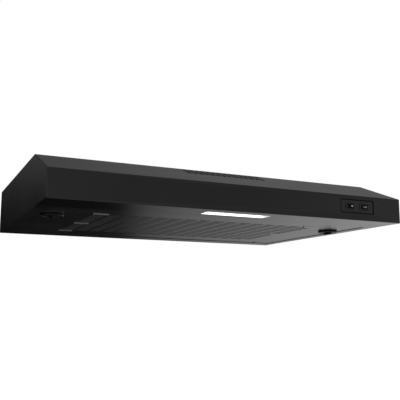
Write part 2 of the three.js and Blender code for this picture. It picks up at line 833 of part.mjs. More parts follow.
// A free wire run, as a thin tube along a smooth line through a few points.
function lead(points, radius, steps) {
  const route = new THREE.CatmullRomCurve3(points.map((point) => new THREE.Vector3(...point)));
  const section = new THREE.Shape();
  section.absarc(0, 0, radius, 0, 2 * Math.PI, false);
  return toSolid(new THREE.ExtrudeGeometry(section, {
    extrudePath: route, steps, bevelEnabled: false, curveSegments: 4,
  }));
}

function switchLead() {
  const startY = frontY + switchBodyDepth + 2 * gap;
  return lead([
    [fanSwitchX, startY, switchZ],
    [fanSwitchX, startY + 14, switchZ],
    [switchLeadX, frontY + slopeDepth * 0.7, underZ + fasciaHeight + 8],
    [switchLeadX, frontY + slopeDepth + 50, leadHoleZ],
    [switchLeadX, boxFront - 40, leadHoleZ],
    [switchLeadX, boxFront + 6, leadHoleZ],
  ], leadRadius, 20);
}

function lampLead() {
  const startX = driverX + driverSize.x + 2 * gap;
  const startZ = stripTopZ + driverSize.z / 2;
  return lead([
    [startX, lampY, startZ],
    [startX + 12, lampY, startZ],
    [startX + 26, frontY + slopeDepth * 0.75, underZ + fasciaHeight],
    [lampLeadX, frontY + slopeDepth + 60, leadHoleZ],
    [lampLeadX, boxFront - 40, leadHoleZ],
    [lampLeadX, boxFront + 6, leadHoleZ],
  ], leadRadius - 0.5, 20);
}

function capacitorClip() {
  const strap = circle(capacitorY, capacitorZ, capacitorRadius + 2);
  strap.holes.push(circle(capacitorY, capacitorZ, capacitorRadius + gap));
  const x0 = capacitorFromMiddle - 5;
  const foot = block(x0, x0 + 10, capacitorY - 14, capacitorY + 14, liningZ - 2.2, liningZ);
  return join(prism(strap, 'x', x0, x0 + 10, 10), foot);
}

function addElectrics() {
  addPart('wiring_box', wiringBox(), galvanised);
  const coverTopZ = boxBottomZ - gap;
  const cover = cut(
    block(boxLeft, boxRight, boxFront, boxRear, coverTopZ - 1.5, coverTopZ),
    rod(1.8, 'z', coverTopZ - 3, coverTopZ + 1, ...coverScrewPlace, 6),
  );
  addPart('wiring_box_cover', cover, galvanised);
  const coverSeatZ = coverTopZ - 1.5 - gap;
  addPart('cover_screw', screw(
    ...coverScrewPlace, coverSeatZ, boxBottomZ + 9, 1.5, 3.2, 2.2, 1,
  ), platedSteel);
  addPart('cable_gland', cableGland(), blackPlastic);
  addPart('gland_nut', ring(
    glandRadius + gap, glandRadius + 5, liningZ - boxWall - gap - 5, liningZ - boxWall - gap,
    wiringBoxFromMiddle, wiringBoxY, 16,
  ), blackPlastic);
  addPart('terminal_block', block(
    boxLeft + 4, boxLeft + 26, wiringBoxY - 24, wiringBoxY + 34,
    liningZ - boxWall - gap - 16, liningZ - boxWall - gap,
  ), whiteNylon);
  addPart('ground_screw', screw(
    ...groundScrewPlace, liningZ - boxWall - gap, -gap, screwShank, screwHead, screwHeadHeight, 1,
  ), platedSteel);
  addPart('switch_lead', switchLead(), wireSleeve);
  addPart('lamp_lead', lampLead(), wireSleeve);
  addPart('capacitor', rod(
    capacitorRadius, 'x', capacitorFromMiddle - capacitorLength / 2,
    capacitorFromMiddle + capacitorLength / 2, capacitorY, capacitorZ, 10,
  ), greyPlastic);
  addPart('capacitor_clip', capacitorClip(), platedSteel);
}

// ---------------------------------------------------------------- filter panel

const plateInner = hingeSpan + hingeTab + 3;
const plateOuter = plateInner + hingePlate;

function grilleWindows() {
  const windowPitch = (grilleRearY - grilleFrontY + rowBar) / grilleRows;
  const windows = [];
  for (let column = 0; column < grilleColumns; column += 1) {
    const x = (column - (grilleColumns - 1) / 2) * columnPitch;
    for (let row = 0; row < grilleRows; row += 1) {
      const y = grilleFrontY + row * windowPitch;
      windows.push(block(
        x - columnWidth / 2, x + columnWidth / 2, y, y + windowPitch - rowBar,
        panelBottomZ - 1, panelTopZ + 1,
      ));
    }
  }
  return windows;
}

function filterPanel() {
  const plate = block(-panelHalf, panelHalf, panelFrontY, panelRearY, panelBottomZ, panelTopZ);
  const frontLip = block(
    -panelHalf, panelHalf, panelFrontY, panelFrontY + sheet, panelBottomZ, panelBottomZ + panelFrontLip,
  );
  const rearLipWall = block(
    -panelHalf, panelHalf, panelRearY - sheet, panelRearY, panelBottomZ, panelBottomZ + panelRearLip,
  );
  const tabs = [-1, 1].map((side) => sideBlock(
    side, hingeSpan - hingeTab / 2, hingeSpan + hingeTab / 2,
    hingeY - 6, panelRearY, panelBottomZ + sheet / 2, hingeZ + 4,
  ));
  const pinHoles = [-1, 1].map((side) => sideRod(
    side, hingePinRadius + gap, hingeSpan - 5, hingeSpan + 5, hingeY, hingeZ,
  ));
  const notches = [-1, 1].map((side) => sideBlock(
    side, plateInner - 1.5, plateOuter + 1.5, hingeY - 12, panelRearY + 1,
    panelBottomZ - 1, hingeZ + 8,
  ));
  const knobHoles = [-1, 1].map((side) => rod(
    latchShaftRadius + gap, 'z', panelBottomZ - 1, panelTopZ + 1, side * latchX, latchY,
  ));
  return cut(
    join(plate, frontLip, rearLipWall, ...tabs),
    ...pinHoles, ...notches, ...knobHoles, ...grilleWindows(),
  );
}

function hingeBracket(side) {
  const footZ = stripTopZ;
  const plateTopZ = hingeZ + 5;
  const footFrontY = rearFlangeY + 3;
  const footRearY = footFrontY + 22;
  const arm = sideBlock(
    side, plateInner, plateOuter, hingeY - 6, footRearY, underZ + rearLip + 1, plateTopZ,
  );
  const post = sideBlock(side, plateInner, plateOuter, footFrontY, footRearY, footZ, plateTopZ);
  const foot = sideBlock(side, plateInner, plateOuter + 14, footFrontY, footRearY, footZ, footZ + 1.5);
  const hole = sideRod(
    side, hingePinRadius + gap, plateInner - 2, plateOuter + 2, hingeY, hingeZ,
  );
  return cut(join(arm, post, foot), hole);
}

function hingePin(side) {
  const headInner = hingeSpan - hingeTab / 2 - gap - 3;
  const shank = sideRod(side, hingePinRadius, headInner, plateOuter + 2, hingeY, hingeZ);
  const head = sideRod(side, hingePinRadius + 1.5, headInner, headInner + 3, hingeY, hingeZ);
  return join(shank, head);
}

function filterFrame() {
  const middleY = (filterFrontY + filterRearY) / 2;
  const length = filterRearY - filterFrontY;
  const shape = rectangle(0, middleY, 2 * (filterHalf + filterRim), length + 2 * filterRim);
  shape.holes.push(rectangle(0, middleY, 2 * (filterHalf + gap), length + 2 * gap));
  return prism(shape, 'z', filterBottomZ, filterBottomZ + meshThickness + gap);
}

// A bent clip, fixed to the panel, that reaches over the filters.
function filterClip(side) {
  const wallX = filterHalf + filterRim + 2 * gap;
  const topZ = charcoalTopZ + gap + clipSheet;
  const section = [
    [wallX, filterBottomZ], [wallX + 18, filterBottomZ], [wallX + 18, filterBottomZ + clipSheet],
    [wallX + clipSheet, filterBottomZ + clipSheet], [wallX + clipSheet, topZ],
    [wallX - 16, topZ], [wallX - 16, topZ - clipSheet], [wallX, topZ - clipSheet],
  ];
  const middleY = (filterFrontY + filterRearY) / 2;
  const shape = polygon(section.map(([x, z]) => [side * x, z]));
  return prism(shape, 'y', middleY - clipLength / 2, middleY + clipLength / 2);
}

function addFilterPanel() {
  addPart('filter_panel', filterPanel(), blackPaint);
  addPart('grease_filter_frame', filterFrame(), platedSteel);
  addPart('grease_filter_mesh', block(
    -filterHalf, filterHalf, filterFrontY, filterRearY,
    filterBottomZ, filterBottomZ + meshThickness,
  ), aluminiumMesh);
  addPart('charcoal_pad', block(
    -filterHalf, filterHalf, filterFrontY, filterRearY, charcoalBottomZ, charcoalTopZ,
  ), charcoalFoam);
  for (const [name, side] of [['left', -1], ['right', 1]]) {
    addPart(`${name}_filter_clip`, filterClip(side), platedSteel);
    addPart(`${name}_hinge_pin`, hingePin(side), platedSteel);
    addPart(`${name}_hinge_bracket`, hingeBracket(side), platedSteel);
  }
}

// ---------------------------------------------------------------- latches

const latchShaftTopZ = tongueBottomZ + tongueThickness;
const latchScrewShank = 1.5;

function latchKnob(side) {
  const faceZ = knobTopZ - knobThickness;
  const body = turned([
    [0, faceZ], [knobRadius * 0.8, faceZ], [knobRadius * 0.93, faceZ + 0.8],
    [knobRadius, faceZ + knobThickness * 0.7], [knobRadius, knobTopZ], [latchShaftRadius, knobTopZ],
    [latchShaftRadius, latchShaftTopZ], [0, latchShaftTopZ],
  ], side * latchX, latchY, 24);
  const grip = prism(
    roundedRectangle(side * latchX, latchY, gripWidth, gripLength, gripWidth / 2 - 0.01),
    'z', faceZ - gripDrop, faceZ + 1,
  );
  const screwBore = rod(
    latchScrewShank + gap, 'z', latchShaftTopZ - 6, latchShaftTopZ + 1, side * latchX, latchY, 4,
  );
  return cut(join(body, grip), screwBore);
}

// Drawn released, pointing back; a quarter turn takes it out over the side flange.
function latchTongue(side) {
  const reach = latchInset - sideFlange + tongueOverlap;
  const x = side * latchX;
  const outline = rectangle(x, latchY + (reach - tongueWidth / 2) / 2, tongueWidth, reach + tongueWidth / 2);
  outline.holes.push(circle(x, latchY, latchShaftRadius + gap));
  return prism(outline, 'z', tongueBottomZ, tongueBottomZ + tongueThickness, 8);
}

function addLatches() {
  for (const [name, side] of [['left', -1], ['right', 1]]) {
    addPart(`${name}_latch_knob`, latchKnob(side), blackPlastic);
    addPart(`${name}_latch_tongue`, latchTongue(side), platedSteel);
    addPart(`${name}_latch_screw`, screw(
      side * latchX, latchY, latchShaftTopZ + gap, latchShaftTopZ - 5,
      latchScrewShank, latchShaftRadius + 2.5, 2, -1,
    ), platedSteel);
  }
}

addOuterPanels();
addDuct();
addBlower();
addLamp();
addSwitches();
addElectrics();
addFilterPanel();
addLatches();

export default hood;
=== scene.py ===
"""Looks of the under-cabinet range hood: paint, plastic, lamp, louvres and small parts."""

import json
import math

import bmesh
import bpy
from mathutils import Matrix, Vector


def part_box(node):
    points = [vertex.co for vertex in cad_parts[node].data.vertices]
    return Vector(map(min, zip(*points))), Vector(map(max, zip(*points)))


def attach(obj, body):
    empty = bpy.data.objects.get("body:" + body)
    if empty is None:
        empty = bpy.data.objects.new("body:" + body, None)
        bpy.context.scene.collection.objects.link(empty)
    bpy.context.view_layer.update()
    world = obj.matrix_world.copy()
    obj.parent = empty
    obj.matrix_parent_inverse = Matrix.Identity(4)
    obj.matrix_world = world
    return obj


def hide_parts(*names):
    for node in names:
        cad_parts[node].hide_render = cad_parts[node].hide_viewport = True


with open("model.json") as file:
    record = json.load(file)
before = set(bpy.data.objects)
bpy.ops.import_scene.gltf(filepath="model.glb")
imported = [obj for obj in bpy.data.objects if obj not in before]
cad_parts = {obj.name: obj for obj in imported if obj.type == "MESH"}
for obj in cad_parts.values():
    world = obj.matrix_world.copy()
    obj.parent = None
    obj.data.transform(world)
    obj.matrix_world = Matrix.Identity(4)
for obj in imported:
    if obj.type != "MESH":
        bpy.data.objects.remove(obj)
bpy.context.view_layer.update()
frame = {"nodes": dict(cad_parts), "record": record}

MM = 0.001

# ------------------------------------------------------------------ places read from the frame

shell_low, shell_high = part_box("hood_shell")
panel_low, panel_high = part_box("filter_panel")
FRONT_Y = shell_low.y
BACK_Y = shell_high.y
UNDER_Z = shell_low.z
HALF_WIDTH = shell_high.x
PANEL_Z = panel_low.z

# ------------------------------------------------------------------ driving sizes of the looks

FASCIA_HEIGHT = 52.5 * MM
SLOPE_DEPTH = 124 * MM
STRIP_DEPTH = 90 * MM
REAR_FLANGE = 48 * MM
SHEET = 1.0 * MM
FOLD_BEVEL = 0.9 * MM  # how far the bend's curve reaches from the fold line
SHELL_RIM = 0.45 * MM
CUT_EDGE = 0.25 * MM
SAME_DIRECTION = 0.9999  # cosine above which a face lies in a flat

COLUMNS = 16
COLUMN_PITCH = 32.3 * MM
WINDOW_WIDTH = 26 * MM
SLOTS_PER_COLUMN = 36
GRILLE_FRONT_MARGIN = 56 * MM
GRILLE_REAR_MARGIN = 63.5 * MM
NOTCH_INNER = 303.5 * MM
NOTCH_OUTER = 308.5 * MM
NOTCH_DEPTH = 17 * MM
HINGE_SPAN = 300 * MM
TAB_DEPTH = 11 * MM
FRONT_LIP = 7 * MM
REAR_LIP = 4 * MM
LIP_ROUND = 0.4 * MM
SLAT_DEPTH = 4.4 * MM
SLAT_ROLL = 0.65 * MM
SLAT_REAR_ROLL = 0.26 * MM
LANCE_WIDTH = 31.4 * MM
LANCE_DEPTH = 7 * MM
LANCE_DROP = 1.8 * MM
LANCE_RAMP = 0.92  # how much of the drop is gone at the lance's front
LANCE_ROUND = 0.72 * MM
LANCE_CORNER = 0.18 * MM
LANCE_OFFSET = 245 * MM
MESH_WAVES = 60
MESH_SQUEEZE = 0.72
PAD_BORDER = 9 * MM
PAD_PRESS = 1.4 * MM
PAD_ROUND = 0.8 * MM

KNOB_GAP = 0.3 * MM
KNOB_THICKNESS = 4.0 * MM
KNOB_FACE_ROUND = 1.6 * MM
KNOB_BACK_ROUND = 1.0 * MM
KNOB_LAND = 2.6 * MM
DISH_SLOPE = 1.2 * MM
DISH_DEPTH = 0.8 * MM
CROWN_SLOPE = 9 * MM
CROWN_HEIGHT = 0.5 * MM
GRIP_WIDTH = 9 * MM
GRIP_LENGTH = 25 * MM
GRIP_ROOT = 2 * MM
GRIP_TAPER = (0.72, 0.94, 1)
GRIP_ROUND = 1.4 * MM
SHAFT_RADIUS = 4 * MM
SHAFT_ROOT = 1 * MM

PLATE_BACKING = 4.5 * MM
BACKING_EDGE = 0.3 * MM
PLATE_CORNER = 3 * MM
PLATE_RIM_ROUND = 0.6 * MM
WINDOW_GAP = 0.3 * MM
CUT_THROUGH = 5 * MM
FRAME_ROUND = 0.45 * MM
ROCKER_ROUND = 0.5 * MM
MARK_INSET = 0.02 * MM
MARK_DEPTH = 2 * MM
MARK_CORNER = 0.3 * MM

HEAD_SHARE = 0.68  # head height over head radius
SHOULDER_SHARE = 0.48  # shoulder under the head, over head radius
THREAD_STEPS = 5
THREAD_ROOT = 0.82  # root radius over crest radius
RECESS_LONG = 0.55  # half the length of each slot of the cross, over head radius
RECESS_SHORT = 0.14
RECESS_DEPTH = 0.5  # over head height
HEAD_ROUND = 0.5  # over head height

LED_COUNT = 6
CHIP_WIDTH = 3.6 * MM
CHIP_DEPTH = 2.8 * MM
CHIP_HEIGHT = 0.9 * MM
CHIP_EDGE = 0.2 * MM
LENS_RIM = 2.5 * MM
LENS_FADE = 5 * MM
LENS_FRONT_FADE = (24 * MM, 39 * MM)  # from the front of the window
LENS_BRIGHTNESS = 1.25
LENS_LEAST_GLOW = 0.18
LENS_TINT = (1.0, 0.99, 0.97)

TERMINAL_WAYS = 5
WELL_WALL = 2.4 * MM
WELL_DEPTH = 7 * MM
CAN_RIM = 1.6 * MM
CAN_RECESS = 2.5 * MM
CAN_ROUND = 0.9 * MM
BLADE_OFFSET = 5 * MM
BLADE_LENGTH = 3.5 * MM
BLADE_THICKNESS = 0.8 * MM
BLADE_WIDTH = 6.2 * MM
BLADE_EDGE = 0.15 * MM
BLADE_SETBACK = 0.1 * MM

# ------------------------------------------------------------------ selecting and editing


def deselect_all():
    bpy.ops.object.select_all(action="DESELECT")


def make_active(piece):
    deselect_all()
    piece.select_set(True)
    bpy.context.view_layer.objects.active = piece


def start_edit(piece):
    make_active(piece)
    bpy.ops.object.mode_set(mode="EDIT")


def end_edit():
    bpy.ops.object.mode_set(mode="OBJECT")


def pick(piece, kind, test):
    """Selects, in edit mode, the faces, edges or verts that pass the test."""
    bpy.ops.mesh.select_mode(type={"verts": "VERT", "edges": "EDGE", "faces": "FACE"}[kind])
    bpy.ops.mesh.select_all(action="DESELECT")
    mesh = bmesh.from_edit_mesh(piece.data)
    for element in getattr(mesh, kind):
        if test(element):
            element.select_set(True)
    bmesh.update_edit_mesh(piece.data)


def near(value, target, reach=0.05 * MM):
    return abs(value - target) < reach


def bevel_where(piece, test, width, segments):
    pick(piece, "edges", test)
    bpy.ops.mesh.bevel(offset=width, segments=segments, affect="EDGES", profile=0.5)


def runs_along(edge, axis):
    """True for an edge parallel to the axis."""
    span = edge.verts[1].co - edge.verts[0].co
    return all(abs(span[other]) < 0.01 * MM for other in range(3) if other != axis)


def on_rim(edge, centre, radius, height):
    """True for an edge of a disc's outline at a height."""
    return all(
        near(vert.co.z, height) and (vert.co.xy - centre.xy).length > radius * 0.98
        for vert in edge.verts
    )


def settle(piece):
    """Puts the piece's place into its mesh, so that its object sits at the origin."""
    make_active(piece)
    bpy.ops.object.transform_apply(location=True, rotation=True, scale=True)


def smooth(piece, angle=30):
    """Smooth shading over gentle edges, with the flats kept flat."""
    make_active(piece)
    bpy.ops.object.shade_smooth_by_angle(angle=math.radians(angle))
    apply_modifier(piece, "WEIGHTED_NORMAL", keep_sharp=True, weight=100)


def apply_modifier(piece, kind, **values):
    make_active(piece)
    modifier = piece.modifiers.new(kind.lower(), kind)
    for key, value in values.items():
        setattr(modifier, key, value)
    bpy.ops.object.modifier_apply(modifier=modifier.name)


def join(pieces, name):
    deselect_all()
    for piece in pieces:
        piece.select_set(True)
    bpy.context.view_layer.objects.active = pieces[0]
    bpy.ops.object.join()
    joined = bpy.context.view_layer.objects.active
    joined.name = name
    joined.data.name = name
    return joined


def twin(piece, name, matrix):
    """A copy with its own mesh, moved by the matrix."""
    copy = piece.copy()
    copy.data = piece.data.copy()
    copy.name = name
    bpy.context.scene.collection.objects.link(copy)
    copy.data.transform(matrix)
    return copy


def box_piece(name, low, high, radius=0.0, segments=3):
    """A block from its two corners, with rounded edges."""
    deselect_all()
    low, high = Vector(low), Vector(high)
    bpy.ops.mesh.primitive_cube_add(size=1, location=(low + high) / 2)
    piece = bpy.context.active_object
    piece.scale = high - low
    piece.name = name
    settle(piece)
    if radius:
        start_edit(piece)
        bpy.ops.mesh.select_all(action="SELECT")
        bpy.ops.mesh.bevel(offset=radius, segments=segments, affect="EDGES", profile=0.5)
        end_edit()
    return piece


def cylinder_piece(name, centre, radius, depth, vertices=48, turn=(0, 0, 0)):
    deselect_all()
    bpy.ops.mesh.primitive_cylinder_add(
        radius=radius, depth=depth, location=centre, vertices=vertices, rotation=turn
    )
    piece = bpy.context.active_object
    piece.name = name
    settle(piece)
    return piece


# ------------------------------------------------------------------ materials


def new_group(name, inputs, outputs):
    group = bpy.data.node_groups.new(name, "ShaderNodeTree")
    for label, kind, value in inputs:
        socket = group.interface.new_socket(label, in_out="INPUT", socket_type=kind)
        if value is not None:
            socket.default_value = value
    for label, kind in outputs:
        group.interface.new_socket(label, in_out="OUTPUT", socket_type=kind)
    return group


def link(tree, source, target):
    tree.links.new(source, target)


def feed(tree, value, socket):
    """Sets a number on a socket, or links another node's output to it."""
    if isinstance(value, (int, float)):
        socket.default_value = value
    else:
        link(tree, value, socket)


def math_node(tree, operation, *values, clamp=False):
    node = tree.nodes.new("ShaderNodeMath")
    node.operation = operation
    node.use_clamp = clamp
    for value, socket in zip(values, node.inputs):
        feed(tree, value, socket)
    return node.outputs[0]


def noise_node(tree, vector, scale, detail, roughness=0.5):
    node = tree.nodes.new("ShaderNodeTexNoise")
    feed(tree, scale, node.inputs["Scale"])
    node.inputs["Detail"].default_value = detail
    node.inputs["Roughness"].default_value = roughness
    link(tree, vector, node.inputs["Vector"])
    return node.outputs["Fac"]


def mix_node(tree, share, first, second):
    """From the first value to the second, as the share goes from 0 to 1."""
    node = tree.nodes.new("ShaderNodeMix")
    feed(tree, share, node.inputs["Factor"])
    feed(tree, first, node.inputs["A"])
    feed(tree, second, node.inputs["B"])
    return node.outputs["Result"]


def smooth_step(tree, value, low, high):
    """From 0 at the low value to 1 at the high one, flat at both ends."""
    node = tree.nodes.new("ShaderNodeMapRange")
    node.interpolation_type = "SMOOTHSTEP"
    node.inputs["From Min"].default_value = low
    node.inputs["From Max"].default_value = high
    link(tree, value, node.inputs["Value"])
    return node.outputs["Result"]


CLOUD_SCALE = 9.0  # patches about 11 cm across
WORN_EDGE_FROM = 0.52  # pointiness at which an edge starts to look worn
WORN_EDGE_TO = 0.62


def surface_group():
    """Base colour and roughness that drift over a surface, with grain and worn edges."""
    group = new_group(
        "surface_variation",
        [
            ("Color", "NodeSocketColor", (0.02, 0.02, 0.02, 1)),
            ("Edge Color", "NodeSocketColor", (0.05, 0.05, 0.05, 1)),
            ("Edge Amount", "NodeSocketFloat", 0.3),
            ("Drift", "NodeSocketFloat", 0.1),
            ("Roughness", "NodeSocketFloat", 0.3),
            ("Roughness Drift", "NodeSocketFloat", 0.05),
            ("Grain Size", "NodeSocketFloat", 900.0),
        ],
        [
            ("Color", "NodeSocketColor"),
            ("Roughness", "NodeSocketFloat"),
            ("Grain", "NodeSocketFloat"),
        ],
    )
    ins = group.nodes.new("NodeGroupInput")
    outs = group.nodes.new("NodeGroupOutput")
    place = group.nodes.new("ShaderNodeTexCoord").outputs["Object"]
    cloud = noise_node(group, place, CLOUD_SCALE, 4.0, 0.6)
    grain = noise_node(group, place, ins.outputs["Grain Size"], 2.0)
    shift = math_node(group, "SUBTRACT", cloud, 0.5)
    drift = math_node(group, "MULTIPLY_ADD", shift, ins.outputs["Drift"], 1.0)
    tint = group.nodes.new("ShaderNodeVectorMath")
    tint.operation = "SCALE"
    link(group, ins.outputs["Color"], tint.inputs[0])
    link(group, drift, tint.inputs["Scale"])
    geometry = group.nodes.new("ShaderNodeNewGeometry")
    edge = group.nodes.new("ShaderNodeMapRange")
    edge.inputs["From Min"].default_value = WORN_EDGE_FROM
    edge.inputs["From Max"].default_value = WORN_EDGE_TO
    link(group, geometry.outputs["Pointiness"], edge.inputs["Value"])
    worn = math_node(group, "MULTIPLY", edge.outputs["Result"], cloud)
    worn = math_node(group, "MULTIPLY", worn, ins.outputs["Edge Amount"], clamp=True)
    mix = group.nodes.new("ShaderNodeMix")
    mix.data_type = "RGBA"
    link(group, worn, mix.inputs["Factor"])
    link(group, tint.outputs[0], mix.inputs[6])
    link(group, ins.outputs["Edge Color"], mix.inputs[7])
    rough_shift = math_node(group, "MULTIPLY", shift, ins.outputs["Roughness Drift"])
    rough = math_node(group, "ADD", rough_shift, ins.outputs["Roughness"], clamp=True)
    link(group, mix.outputs[2], outs.inputs["Color"])
    link(group, rough, outs.inputs["Roughness"])
    link(group, grain, outs.inputs["Grain"])
    return group


SURFACE = surface_group()


def finish_material(
    name, color, roughness, metallic=0.0, specular=0.5, edge_color=None, edge_amount=0.3,
    drift=0.15, rough_drift=0.08, grain_size=900.0, bump=0.1, bump_height=0.05,
):
    """A Principled material over the shared surface variation. The bump height is in mm."""
    material = bpy.data.materials.new(name)
    material.use_nodes = True
    tree = material.node_tree
    shader = tree.nodes["Principled BSDF"]
    surface = tree.nodes.new("ShaderNodeGroup")
    surface.node_tree = SURFACE
    surface.inputs["Color"].default_value = (*color, 1)
    surface.inputs["Edge Color"].default_value = (*(edge_color or color), 1)
    surface.inputs["Edge Amount"].default_value = edge_amount
    surface.inputs["Drift"].default_value = drift
    surface.inputs["Roughness"].default_value = roughness
    surface.inputs["Roughness Drift"].default_value = rough_drift
    surface.inputs["Grain Size"].default_value = grain_size
    bumps = tree.nodes.new("ShaderNodeBump")
    bumps.inputs["Strength"].default_value = bump
    bumps.inputs["Distance"].default_value = bump_height * MM
    link(tree, surface.outputs["Grain"], bumps.inputs["Height"])
    link(tree, surface.outputs["Color"], shader.inputs["Base Color"])
    link(tree, surface.outputs["Roughness"], shader.inputs["Roughness"])
    link(tree, bumps.outputs["Normal"], shader.inputs["Normal"])
    shader.inputs["Metallic"].default_value = metallic
    shader.inputs["Specular IOR Level"].default_value = specular
    return material


def lens_material():
    """Opal diffuser, lit from above: brightest toward its rear, fading near its ends."""
    material = finish_material("opal_lens", (0.9, 0.9, 0.9), 0.35, bump=0.05)
    tree = material.node_tree
    shader = tree.nodes["Principled BSDF"]
    place = tree.nodes.new("ShaderNodeTexCoord").outputs["Object"]
    split = tree.nodes.new("ShaderNodeSeparateXYZ")
    link(tree, place, split.inputs[0])
    lens_low, lens_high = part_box("lamp_lens")
    half = (lens_high.x - lens_low.x) / 2 - LENS_RIM
    offset = math_node(tree, "SUBTRACT", split.outputs[0], (lens_low.x + lens_high.x) / 2)
    sideways = smooth_step(tree, math_node(tree, "ABSOLUTE", offset), half, half - LENS_FADE)
    rim_y = lens_low.y + LENS_RIM
    backward = smooth_step(
        tree, split.outputs[1], rim_y + LENS_FRONT_FADE[0], rim_y + LENS_FRONT_FADE[1]
    )
    lit = math_node(tree, "MULTIPLY", sideways, backward)
    glow = math_node(tree, "MULTIPLY_ADD", lit, 1 - LENS_LEAST_GLOW, LENS_LEAST_GLOW)
    warm = tree.nodes.new("ShaderNodeVectorMath")
    warm.operation = "SCALE"
    warm.inputs[0].default_value = LENS_TINT
    link(tree, glow, warm.inputs["Scale"])
    link(tree, warm.outputs[0], shader.inputs["Emission Color"])
    shader.inputs["Emission Strength"].default_value = LENS_BRIGHTNESS
    return material


BLACK_PAINT = finish_material(
    "black_paint", (0.006, 0.006, 0.0062), 0.22, edge_color=(0.05, 0.05, 0.05),
    edge_amount=0.5, bump=0.12, bump_height=0.03, grain_size=700.0,
)
BLACK_PLASTIC = finish_material(
    "black_plastic", (0.006, 0.006, 0.006), 0.42, edge_color=(0.03, 0.03, 0.03),
    bump=0.3, bump_height=0.05, grain_size=2200.0,
)
GALVANISED = finish_material(
    "galvanised", (0.5, 0.52, 0.53), 0.42, 1.0, edge_color=(0.7, 0.7, 0.7),
    drift=0.6, rough_drift=0.3, grain_size=160.0, bump=0.1,
)
PLATED_STEEL = finish_material(
    "plated_steel", (0.62, 0.61, 0.58), 0.3, 1.0, edge_color=(0.8, 0.8, 0.8), drift=0.3,
    rough_drift=0.15, grain_size=400.0,
)
CHARCOAL = finish_material(
    "charcoal", (0.015, 0.015, 0.015), 0.95, drift=0.8, grain_size=500.0, bump=1.0,
    bump_height=0.8,
)
FILTER_MESH = finish_material(
    "filter_mesh", (0.6, 0.61, 0.62), 0.38, 1.0, drift=0.5, grain_size=600.0, bump=0.8,
    bump_height=0.4,
)
CIRCUIT_BOARD = finish_material("circuit_board", (0.03, 0.16, 0.07), 0.35)
GREY_PLASTIC = finish_material("grey_plastic", (0.2, 0.21, 0.22), 0.45, bump=0.2)
WHITE_NYLON = finish_material("white_nylon", (0.74, 0.72, 0.67), 0.42, drift=0.08)
WIRE_SLEEVE = finish_material("wire_sleeve", (0.012, 0.012, 0.012), 0.55, bump=0.3)
PLATE_BLACK = finish_material(
    "plate_black", (0.009, 0.009, 0.009), 0.34, edge_color=(0.03, 0.03, 0.03), bump=0.2,
    grain_size=1500.0,
)
# Near-black, low-gloss plastic: the rockers' own black, and on the plate's backing a painted
# shade for the groove round the plate's face.
ROCKER_BLACK_AND_GROOVE_SHADE = finish_material(
    "rocker_black_and_groove_shade", (0.002, 0.002, 0.002), 0.4, specular=0.12, bump=0.2
)
KNOB_BLACK = finish_material("knob_black", (0.002, 0.002, 0.002), 0.38, specular=0.2, bump=0.2)
# Pale metal finish for the pressed lances: it paints the highlights on their edges.
LANCE_HIGHLIGHT_FINISH = finish_material("lance_painted_highlight", (0.3, 0.3, 0.3), 0.3, 0.8, bump=0.1)
LED_PHOSPHOR = finish_material("led_phosphor", (0.85, 0.62, 0.12), 0.5, bump=0.05)
WHITE_MARK = finish_material("white_mark", (0.42, 0.42, 0.41), 0.5, bump=0.05)
OPAL_LENS = lens_material()

SLOT_MATERIALS = {
    "black_paint": BLACK_PAINT,
    "black_plastic": BLACK_PLASTIC,
    "galvanised": GALVANISED,
    "plated_steel": PLATED_STEEL,
    "filter_mesh": FILTER_MESH,
    "charcoal": CHARCOAL,
    "opal_lens": OPAL_LENS,
    "circuit_board": CIRCUIT_BOARD,
    "grey_plastic": GREY_PLASTIC,
    "white_nylon": WHITE_NYLON,
    "wire_sleeve": WIRE_SLEEVE,
}


def paint(piece, material):
    piece.data.materials.clear()
    piece.data.materials.append(material)


BODY_OF_NODE = {
    node: body
    for body, nodes in frame["record"]["behaviour"]["bodies"].items()
    for node in nodes
}
SLOT_OF_NODE = {part["node"]: part["material_slot"] for part in frame["record"]["subparts"]}


def finish_cad_nodes():
    """Each CAD node gets the material of its slot."""
    for name, node in frame["nodes"].items():
        paint(node, SLOT_MATERIALS[SLOT_OF_NODE[name]])


def stand_for(piece, node, material=None):
    """The piece takes a CAD node's place, body and slot."""
    slot = SLOT_OF_NODE[node]
    paint(piece, material or SLOT_MATERIALS[slot])
    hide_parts(node)
    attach(piece, BODY_OF_NODE[node])


def add_to(piece, body, slot, material=None):
    """A piece with no CAD node of its own."""
    paint(piece, material or SLOT_MATERIALS[slot])
    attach(piece, body)


# ------------------------------------------------------------------ copies of CAD nodes


def merged_copy(node, name):
    """A copy of a CAD node with the corners of its triangles merged."""
    piece = bpy.data.objects.new(name, frame["nodes"][node].data.copy())
    bpy.context.scene.collection.objects.link(piece)
    start_edit(piece)
    bpy.ops.mesh.select_all(action="SELECT")
    bpy.ops.mesh.remove_doubles(threshold=0.01 * MM)
    end_edit()
    return piece


def round_edges(piece, width, segments=2, angle=35):
    """Rounds every edge sharper than the angle."""
    apply_modifier(
        piece, "BEVEL", width=width, segments=segments, limit_method="ANGLE",
        angle_limit=math.radians(angle), use_clamp_overlap=True, miter_outer="MITER_ARC",
    )


def soften(piece, width, segments=2, angle=35):
    round_edges(piece, width, segments, angle)
    smooth(piece, angle)


def softened_node(node, width, segments=2, angle=35):
    piece = merged_copy(node, f"{node}_skin")
    soften(piece, width, segments, angle)
    stand_for(piece, node)
    return piece


# ------------------------------------------------------------------ outer sheet metal


